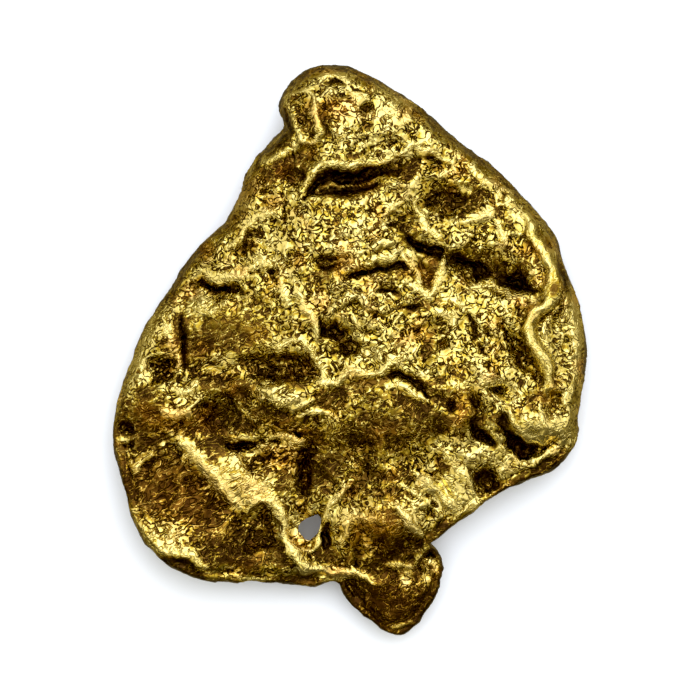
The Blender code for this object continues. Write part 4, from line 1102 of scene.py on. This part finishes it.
def fold_height(place):
    """Wrinkles' height, in millimetres: blobs and a finer noise, both drawn out along the folds."""
    drawn_out = place @ FOLD_TURN * np.array(FOLD_STRETCH)
    folds = FOLD_MIX[0] * billows(drawn_out, FOLD_SIZES[0], SEED["folds"])
    finer = FOLD_MIX[1] * lattice_noise(drawn_out / FOLD_SIZES[1], SEED["fine_folds"])
    return FOLD_HEIGHT * (folds + finer)


def texture_height(place, polish, wrinkled):
    """How far each point stands out from the landforms, in millimetres, and its valley mask.

    It is the sum of soft lumps, a network of low crests, grain that is deeper in some patches,
    and wrinkles on the wrinkled places, where grain is shallower. Polish takes them away.
    """
    size, contrast, least, rest = GRAIN_PATCHES
    patches = ease(0.5 + contrast * layered_noise(place, size, SEED["patches"], 2))
    grain, valley = grain_height(place, (1 - polish) * (least + rest * patches))
    lumps = layered_noise(place, LUMP_SIZE, SEED["lumps"], 2)
    network = worms(warped(place, *NETWORK_WARP, SEED["meander"]), NETWORK_SIZE, SEED["network"])
    height = LUMP_HEIGHT * lumps + NETWORK_HEIGHT * (1 - polish) * network
    height = height + (1 - FOLD_CALM * wrinkled) * grain
    height = height + (1 - FOLD_POLISH * polish) * wrinkled * fold_height(place)
    return height, valley


def rim_steps(place, shore):
    """Ragged steps along the outer band: a sine of the distance from the outline, -1 to 1."""
    stray, size = STEP_RAG
    ragged = shore + stray * layered_noise(place, size, SEED["steps"], 3)
    fade = (1 - ease(shore / STEP_BAND)) * ease(shore / STEP_START)
    return np.sin(2 * np.pi * ragged / STEP_WIDTH) * fade


def nugget_points():
    """Every point of the nugget in millimetres, its faces, and where each mark lies.

    Gives the places, the faces' loops and sizes, which grid points the underside has of its
    own, the upper grid's shape, and the marks (polish, valley, crest, slot, shore distance and
    wrinkled) as one value for each point.
    """
    loop, turn = outline_curve()
    hole = smooth_curve(HOLE[::-1], closed=True)
    plan, ring = outline_grid(loop, turn)
    plan, hole_ring = pulled_to_hole(plan, hole)
    x, y = plan[..., 0], plan[..., 1]
    shore, _ = path_distance(x, y, np.vstack([loop, loop[:1]]))
    shore[ring == 1] = 0
    hole_gap, _ = path_distance(x, y, np.vstack([hole, hole[:1]]), 2 * HOLE_BOWL)
    hole_gap[hole_ring <= 1] = 0
    low = underside(x, y, ring, shore, hole_gap)
    high, crest, slot = upper_face(x, y, ring, shore, hole_gap)
    open_ground = np.minimum(ease(shore / SHORE), ease(hole_gap / HOLE_BEVEL))
    high = np.maximum(high, low + LEAST_WALL * open_ground)

    loops, sizes, own = nugget_faces(hole_ring)
    place = np.stack([np.r_[x.ravel(), x[own]], np.r_[y.ravel(), y[own]],
                      np.r_[high.ravel(), low[own]]], axis=1)
    shore = np.r_[shore.ravel(), shore[own]]
    crest, slot = (np.r_[line.ravel(), np.zeros(own.sum())] for line in (crest, slot))
    polish = np.maximum(polish_at(place[:, 0], place[:, 1], shore), CREST_POLISH * crest)
    wrinkled = zone(place[:, 0], place[:, 1], WRINKLED)
    height, valley = texture_height(place, polish, wrinkled)
    height[x.size:] *= UNDER_TEXTURE
    height += STEP_HEIGHT * rim_steps(place, shore)
    place = place + point_normals(place, loops, sizes) * height[:, None]
    marks = {"polish": polish, "valley": valley, "crest": crest, "slot": slot,
             "shore": shore, "wrinkled": wrinkled}
    return place, loops, sizes, own, x.shape, marks


def linear(hex_colour):
    """An sRGB hex colour as linear red, green, blue and alpha."""
    srgb = np.array([int(hex_colour[k:k + 2], 16) / 255 for k in (0, 2, 4)])
    rgb = np.where(srgb <= 0.04045, srgb / 12.92, ((srgb + 0.055) / 1.055) ** 2.4)
    return (*(float(v) for v in rgb), 1.0)


def add_node(tree, kind, inputs=(), **properties):
    """Adds one node with its properties, and fills its inputs.

    Each input, by name or number, takes either another node's socket to link or a plain value.
    """
    node = tree.nodes.new("ShaderNode" + kind)
    for name, value in properties.items():
        setattr(node, name, value)
    for name, value in dict(inputs).items():
        if isinstance(value, bpy.types.NodeSocket):
            tree.links.new(value, node.inputs[name])
        else:
            node.inputs[name].default_value = value
    return node


def middle_line(tree, noise, start, stop):
    """Smooth step from 0 to 1 as a noise's nearness to its middle value goes from start to stop.

    Nearness is the noise folded over at its middle value: highest on the line where the noise
    passes it, and less by as much as the noise leaves it on either side.
    """
    nearness = add_node(tree, "Math", {0: noise, 1: NOISE_MIDDLE}, operation="PINGPONG")
    return add_node(tree, "MapRange", {
        "Value": nearness.outputs["Value"], "From Min": start, "From Max": stop,
    }, interpolation_type="SMOOTHSTEP").outputs["Result"]


def fine_patterns(tree, wrinkled):
    """The finish's patterns, each from 0 to 1: folds, soft grit between them, and bright flecks as painted
    glints.

    Folds are parted by the lines where a noise passes its middle value, and flecks lie on such
    lines of a finer one. Where the metal is wrinkled, the folds are drawn out along the
    wrinkles, and flecks always are.
    """
    place = add_node(tree, "TexCoord").outputs["Object"]
    streaked = add_node(tree, "Mapping", {
        "Vector": place, "Rotation": (0, 0, np.radians(WRINKLE_LINE)),
        "Scale": (WRINKLE_STRETCH, 1, 1)}, vector_type="TEXTURE").outputs["Vector"]
    crinkle, wrinkle = (
        add_node(tree, "TexNoise", {
            "Vector": where, "Scale": 1 / (CRINKLE_SIZE * MM), "Detail": CRINKLE_DETAIL,
            "Roughness": CRINKLE_BREAK, "Distortion": CRINKLE_TWIST,
        }).outputs["Fac"] for where in (place, streaked))
    folded = add_node(tree, "Mix", {
        "Factor": wrinkled, "A": crinkle, "B": wrinkle}).outputs["Result"]
    fold = middle_line(tree, folded, NOISE_MIDDLE, NOISE_MIDDLE - CRINKLE_LINE)
    grit = add_node(tree, "TexNoise", {
        "Vector": place, "Scale": 1 / (GRIT_SIZE * MM), "Detail": 0.0}).outputs["Fac"]
    fleck_noise = add_node(tree, "TexNoise", {
        "Vector": streaked, "Scale": 1 / (FLECK_SIZE * MM), "Detail": 1.0,
        "Distortion": FLECK_TWIST}).outputs["Fac"]
    fleck = middle_line(tree, fleck_noise, NOISE_MIDDLE - FLECK_LINE, NOISE_MIDDLE)
    return fold, grit, fleck


def film_colour(tree, bareness, settings):
    """The metal's colour through the film: its colours run into each other between their stops."""
    level = add_node(tree, "MapRange", {
        "Value": bareness, "From Min": FILM_STOPS[0], "From Max": FILM_STOPS[-1]})
    ramp = add_node(tree, "ValToRGB", {"Fac": level.outputs["Result"]})
    stops = ramp.color_ramp.elements
    for k, (at, colour) in enumerate(zip(FILM_STOPS, settings.film_colours())):
        stop = stops[k] if k < 2 else stops.new(1)
        stop.position = (at - FILM_STOPS[0]) / (FILM_STOPS[-1] - FILM_STOPS[0])
        stop.color = colour
    return ramp.outputs["Color"]


def native_gold(settings):
    """Native gold with a little silver, cast by nature and worn in gravel.

    Bare, slightly lemon metal on every crest; between the crests a thin brown film of iron
    oxide, which turns the gold's shine bronze and goes to dark umber at the bottom of the hollows.
    The slots are near black with film, dirt and painted shade. Small bright facets get painted
    highlights and the dark folds between them painted shade, and thin bright folds cross the dark
    film as painted glints. Patches and the outer band add painted shade and painted highlights.
    Iron stains it orange in soft clouds. Polished where gravel rubbed it, satin elsewhere.
    """
    material = bpy.data.materials.new("worn_native_gold")
    material.use_nodes = True
    tree = material.node_tree
    tree.nodes.clear()
    mask = {name: add_node(tree, "Attribute", attribute_name=name).outputs["Fac"] for name in MASKS}
    fold, grit, fleck = fine_patterns(tree, mask["wrinkled"])

    # The finest relief, shallower where the metal is polished
    grit_relief = add_node(tree, "Math", {0: grit, 1: GRIT_HEIGHT * MM},
                           operation="MULTIPLY").outputs["Value"]
    relief = add_node(tree, "Math", {0: fold, 1: CRINKLE_HEIGHT * MM, 2: grit_relief},
                      operation="MULTIPLY_ADD").outputs["Value"]
    bump = add_node(tree, "Bump", {"Height": relief, "Strength": mask["roughened"], "Distance": 1.0})

    # How bare the metal is: the mesh's own bareness, speckled with painted highlight and shade by grit and
    # folds, plus the flecks as painted glints
    speckle = add_node(tree, "Math", {
        0: grit, 1: GRIT_HIGHLIGHT_AND_SHADE, 2: -NOISE_MIDDLE * GRIT_HIGHLIGHT_AND_SHADE - CRINKLE_MIDDLE * CRINKLE_HIGHLIGHT_AND_SHADE,
    }, operation="MULTIPLY_ADD").outputs["Value"]
    speckle = add_node(tree, "Math", {0: fold, 1: CRINKLE_HIGHLIGHT_AND_SHADE, 2: speckle},
                       operation="MULTIPLY_ADD").outputs["Value"]
    bareness = add_node(tree, "Math", {0: speckle, 1: mask["speckled"], 2: mask["bareness"]},
                        operation="MULTIPLY_ADD").outputs["Value"]
    bareness = add_node(tree, "Math", {0: fleck, 1: FLECK_GLINT, 2: bareness},
                        operation="MULTIPLY_ADD").outputs["Value"]

    stained = add_node(tree, "MixRGB", {
        "Fac": mask["iron_stain"], "Color1": film_colour(tree, bareness, settings),
        "Color2": settings.iron_stain[:] + (1,)}, blend_type="MULTIPLY")
    roughness = add_node(tree, "MapRange", {
        "Value": bareness, "To Min": settings.film_roughness, "To Max": settings.roughness})
    shader = add_node(tree, "BsdfPrincipled", {
        "Base Color": stained.outputs["Color"], "Metallic": 1.0,
        "Roughness": roughness.outputs["Result"], "Normal": bump.outputs["Normal"]})
    output = add_node(tree, "OutputMaterial", {"Surface": shader.outputs["BSDF"]})
    output.is_active_output = True
    return material


def add_object(name, data):
    """Puts a mesh, lamp or camera into the scene as an object at the origin."""
    item = bpy.data.objects.new(name, data)
    bpy.context.scene.collection.objects.link(item)
    return item


def fitted(place, box):
    """The points moved and stretched so that the nugget fills its box, standing on z = 0."""
    low, high = place.min(axis=0), place.max(axis=0)
    size = (np.array(box[1]) - np.array(box[0])) / (high - low)
    middle = (low + high) / 2
    middle[2] = low[2]
    base = (np.array(box[0]) + np.array(box[1])) / 2
    base[2] = box[0][2]
    return (place - middle) * size + base


def finish_masks(place, own, shape, marks):
    """The masks that the finish reads, one value for each point.

    Film gathers in pits and hollows, which are where the upper face lies below its own blurred
    height, and in the grain's valleys; film and painted shade darken the slots and the band along
    the rim; the listed patches add film and painted shade and, where negative, barer metal as
    painted highlight; and film lies evenly below the rim. Crests are bare. Polish and film both
    calm the speckle. Iron stain is the stronger of its own patches and soft clouds.
    """
    upper = place[:shape[0] * shape[1], 2].reshape(shape)
    pit = np.clip((blurred(upper, PIT_REACH) - upper) / PIT_DEPTH, -1, 1)
    hollow = np.clip((blurred(upper, HOLLOW_REACH) - blurred(upper, 1)) / HOLLOW_DEPTH, -1, 1)
    pit = np.r_[pit.ravel(), pit[own]] + VALLEY_FILM * marks["valley"]
    hollow = np.r_[hollow.ravel(), hollow[own]]
    x, y = warped(place, *PATCH_WANDER, SEED["film"])[:, :2].T
    # Patches of film and painted shade, and of barer metal as painted highlight
    film = sum(strength * swell(x, y, centre, half_axes, turn)
               for strength, centre, half_axes, turn in FILM_AND_PAINTED_LIGHT_PATCHES.values())
    under = ease((RIM_LEVEL - place[:, 2]) / UNDER_FADE)
    film = film + under * (UNDER_FILM - film)
    # Crests are rubbed bare; the slots get film and painted shade
    film = film - CREST_BARE * marks["crest"] + SLOT_FILM_AND_SHADE * marks["slot"]
    # Film and painted shade darken the outer band
    rim_film_and_shade, band = SHORE_FILM_AND_SHADE
    film = film + rim_film_and_shade * (1 - ease(marks["shore"] / band))
    roughened = 1 - (1 - POLISHED_GRAIN) * marks["polish"]
    strength, size = STAIN_HAZE
    haze = strength * ease(layered_noise(place, size, SEED["stain"], 2))
    bareness = BARE_LEVEL - PIT_FILM * pit - HOLLOW_FILM * hollow - film
    return {
        # The slots' bottoms go lower still, as painted shade
        "bareness": np.maximum(bareness, FILM_FLOOR - SLOT_DARK * marks["slot"]),
        "speckled": roughened * (1 - np.clip(FILM_CALM * film, 0, 1)),
        "roughened": roughened,
        "iron_stain": np.maximum(zone(place[:, 0], place[:, 1], STAINED), haze),
        "wrinkled": marks["wrinkled"],
    }


def build_nugget():
    """The nugget's mesh, closed and facing outwards, with the finish's masks at its points."""
    place, loops, sizes, own, shape, marks = nugget_points()
    masks = finish_masks(place, own, shape, marks)
    place[:, 2] = np.maximum(place[:, 2], 0)
    used = np.unique(loops)
    number = np.zeros(len(place), dtype=int)
    number[used] = np.arange(len(used))
    place = fitted(place[used], CAD_BOX)

    mesh = bpy.data.meshes.new("nugget_surface")
    mesh.vertices.add(len(used))
    mesh.vertices.foreach_set("co", place.astype(np.float32).ravel())
    mesh.loops.add(len(loops))
    mesh.loops.foreach_set("vertex_index", number[loops].astype(np.int32))
    mesh.polygons.add(len(sizes))
    mesh.polygons.foreach_set("loop_start", np.r_[0, np.cumsum(sizes)[:-1]].astype(np.int32))
    mesh.polygons.foreach_set("use_smooth", np.ones(len(sizes), dtype=bool))
    mesh.update(calc_edges=True)
    mesh.validate()
    for name in MASKS:
        layer = mesh.attributes.new(name, "FLOAT", "POINT")
        layer.data.foreach_set("value", masks[name][used].astype(np.float32))
    return mesh


class NuggetSettings(bpy.types.PropertyGroup):
    """The nugget's finish."""

    crest: bpy.props.FloatVectorProperty(
        name="Crests", description="Bare metal rubbed bright on the crests", subtype="COLOR",
        min=0, max=1, default=linear("F4E699")[:3])
    gold: bpy.props.FloatVectorProperty(
        name="Gold", description="Bare metal", subtype="COLOR",
        min=0, max=1, default=linear("DFD07A")[:3])
    olive: bpy.props.FloatVectorProperty(
        name="Olive gold", description="Metal under the thinnest film", subtype="COLOR",
        min=0, max=1, default=linear("B69F34")[:3])
    bronze: bpy.props.FloatVectorProperty(
        name="Bronze film", description="Metal under a thin oxide film", subtype="COLOR",
        min=0, max=1, default=linear("7A5E24")[:3])
    umber: bpy.props.FloatVectorProperty(
        name="Umber film", description="Thick film at the bottom of the hollows",
        subtype="COLOR", min=0, max=1, default=linear("402C12")[:3])
    # Film and packed dirt at the bottom of the slots, deepened to near black as painted shade
    slot_dirt_and_shade: bpy.props.FloatVectorProperty(
        name="Black slots", description="Film and packed dirt at the bottom of the slots",
        subtype="COLOR", min=0, max=1, default=linear("140C05")[:3])
    iron_stain: bpy.props.FloatVectorProperty(
        name="Iron stain", description="Rust-orange tint of the stained patches", subtype="COLOR",
        min=0, max=1, default=linear("FFB45A")[:3])
    roughness: bpy.props.FloatProperty(
        name="Roughness", description="Roughness of the bare metal", subtype="FACTOR",
        min=0, max=1, default=0.17)
    film_roughness: bpy.props.FloatProperty(
        name="Film roughness", description="Roughness under the thickest film",
        subtype="FACTOR", min=0, max=1, default=0.30)

    def film_colours(self):
        """The film's colours from thickest to none, with alpha."""
        return [colour[:] + (1,) for colour in (
            self.slot_dirt_and_shade, self.umber, self.bronze, self.olive, self.gold, self.crest)]


class StageSettings(bpy.types.PropertyGroup):
    """The floor, the light and the camera."""

    floor_colour: bpy.props.FloatVectorProperty(
        name="Floor", description="Colour of the plain floor", subtype="COLOR",
        min=0, max=1, default=linear("E0E8FA")[:3])
    floor_size: bpy.props.FloatProperty(
        name="Floor size", description="Width and depth of the floor",
        unit="LENGTH", subtype="DISTANCE", min=0.01, default=0.6)
    view_width: bpy.props.FloatProperty(
        name="View width", description="Width of the view at the nugget's mid height",
        unit="LENGTH", subtype="DISTANCE", precision=4, min=0.001, default=0.0196)
    camera_height: bpy.props.FloatProperty(
        name="Camera height", description="Height of the camera above the floor",
        unit="LENGTH", subtype="DISTANCE", min=0.05, default=0.30)
    lamp_size: bpy.props.FloatProperty(
        name="Lamp size", description="Width of the soft lamp that lights the floor",
        unit="LENGTH", subtype="DISTANCE", min=0.001, default=0.11)
    lamp_power: bpy.props.FloatProperty(
        name="Lamp power", description="Power of that lamp in watts",
        unit="POWER", subtype="POWER", precision=3, min=0, default=0.066)


class NUGGET_OT_body(bpy.types.Operator):
    """Model the nugget's surface and finish, in place of its plain solid"""

    bl_idname = "nugget.model_body"
    bl_label = "Model the nugget"
    bl_options = {"REGISTER", "UNDO"}

    def execute(self, context):
        settings = context.scene.nugget_finish
        mesh = build_nugget()
        if not mesh.polygons:
            raise RuntimeError("the nugget's surface has no faces")
        mesh.materials.append(native_gold(settings))
        piece = add_object("gold_nugget", mesh)
        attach(piece, "root")
        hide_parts("nugget")
        return {"FINISHED"}


def studio_light():
    """World light as a sum of soft round lobes: each fades from its inner to its outer angle."""
    world = bpy.data.worlds.new("soft_studio")
    world.use_nodes = True
    tree = world.node_tree
    tree.nodes.clear()
    direction = add_node(tree, "TexCoord").outputs["Generated"]
    total = (0, 0, 0)
    for aim, inner, outer, colour, strength in LIGHT_LOBES:
        facing = add_node(tree, "VectorMath", {0: direction, 1: aim / np.linalg.norm(aim)},
                          operation="DOT_PRODUCT").outputs["Value"]
        lobe = add_node(tree, "MapRange", {
            "Value": facing, "From Min": np.cos(np.radians(outer)),
            "From Max": np.cos(np.radians(inner)), "To Max": strength,
        }, interpolation_type="SMOOTHSTEP").outputs["Result"]
        glow = add_node(tree, "VectorMath", {0: linear(colour)[:3], "Scale": lobe},
                        operation="SCALE").outputs["Vector"]
        total = add_node(tree, "VectorMath", {0: total, 1: glow},
                         operation="ADD").outputs["Vector"]
    background = add_node(tree, "Background", {"Color": total, "Strength": 1.0})
    add_node(tree, "OutputWorld", {"Surface": background.outputs["Background"]})
    return world


def floor_mesh(settings):
    """A flat square of the floor's size on z = 0, matt and plain."""
    half = settings.floor_size / 2
    mesh = bpy.data.meshes.new("floor")
    corners = [(-half, -half, 0), (half, -half, 0), (half, half, 0), (-half, half, 0)]
    mesh.from_pydata(corners, [], [(0, 1, 2, 3)])
    material = bpy.data.materials.new("matt_paper")
    material.use_nodes = True
    shader = material.node_tree.nodes["Principled BSDF"]
    shader.inputs["Base Color"].default_value = settings.floor_colour[:] + (1,)
    shader.inputs["Roughness"].default_value = FLOOR_ROUGHNESS
    shader.inputs["Specular IOR Level"].default_value = FLOOR_SHINE
    mesh.materials.append(material)
    return mesh


def add_lamp(settings):
    """A soft round lamp that lights the floor and casts the shadow, but shows in no reflection."""
    data = bpy.data.lights.new("floor_lamp", "AREA")
    data.shape = "DISK"
    data.size = settings.lamp_size
    data.energy = settings.lamp_power
    lamp = add_object("floor_lamp", data)
    lamp.location = np.array(LAMP_PLACE) * MM
    lamp.rotation_euler = Vector(LAMP_PLACE).to_track_quat("Z", "Y").to_euler()
    lamp.visible_glossy = False


def add_camera(settings):
    """A camera straight above, whose view at the nugget's mid height is as wide as is set."""
    data = bpy.data.cameras.new("camera")
    data.sensor_width = SENSOR_WIDTH
    data.lens = SENSOR_WIDTH * (settings.camera_height - CAD_BOX[1][2] / 2) / settings.view_width
    data.clip_start, data.clip_end = CLIP_RANGE
    camera = add_object("camera", data)
    camera.location = (0, 0, settings.camera_height)
    return camera


class NUGGET_OT_stage(bpy.types.Operator):
    """Lay the plain floor, set the soft light and place the camera above the nugget"""

    bl_idname = "nugget.set_stage"
    bl_label = "Set the stage"
    bl_options = {"REGISTER", "UNDO"}

    def execute(self, context):
        if "gold_nugget" not in bpy.data.objects:
            raise RuntimeError("model the nugget before setting its stage")
        settings = context.scene.nugget_stage
        floor = add_object("floor", floor_mesh(settings))
        floor.visible_glossy = False
        add_lamp(settings)
        context.scene.world = studio_light()
        context.scene.camera = add_camera(settings)
        view = context.scene.view_settings
        view.view_transform = "Standard"
        view.look = "None"
        view.use_curve_mapping = True
        view.curve_mapping.black_level = (BLACK_LEVEL,) * 3
        view.curve_mapping.update()
        return {"FINISHED"}


class NUGGET_PT_panel(bpy.types.Panel):
    """Lists the nugget's and the stage's settings and their operators"""

    bl_idname = "NUGGET_PT_panel"
    bl_label = "Gold nugget"
    bl_space_type = "VIEW_3D"
    bl_region_type = "UI"
    bl_category = "Nugget"

    def draw(self, context):
        for group, operator in ((context.scene.nugget_finish, NUGGET_OT_body),
                                (context.scene.nugget_stage, NUGGET_OT_stage)):
            box = self.layout.box()
            for name in group.__annotations__:
                box.prop(group, name)
            box.operator(operator.bl_idname)


CLASSES = (NuggetSettings, StageSettings, NUGGET_OT_body, NUGGET_OT_stage, NUGGET_PT_panel)


def register():
    """Registers the classes and hangs their settings on the scene."""
    for item in CLASSES:
        bpy.utils.register_class(item)
    bpy.types.Scene.nugget_finish = bpy.props.PointerProperty(type=NuggetSettings)
    bpy.types.Scene.nugget_stage = bpy.props.PointerProperty(type=StageSettings)


def unregister():
    """Takes the settings and the classes away again."""
    del bpy.types.Scene.nugget_stage
    del bpy.types.Scene.nugget_finish
    for item in reversed(CLASSES):
        bpy.utils.unregister_class(item)


def main():
    register()
    bpy.ops.nugget.model_body()
    bpy.ops.nugget.set_stage()


if __name__ == "__main__":
    main()
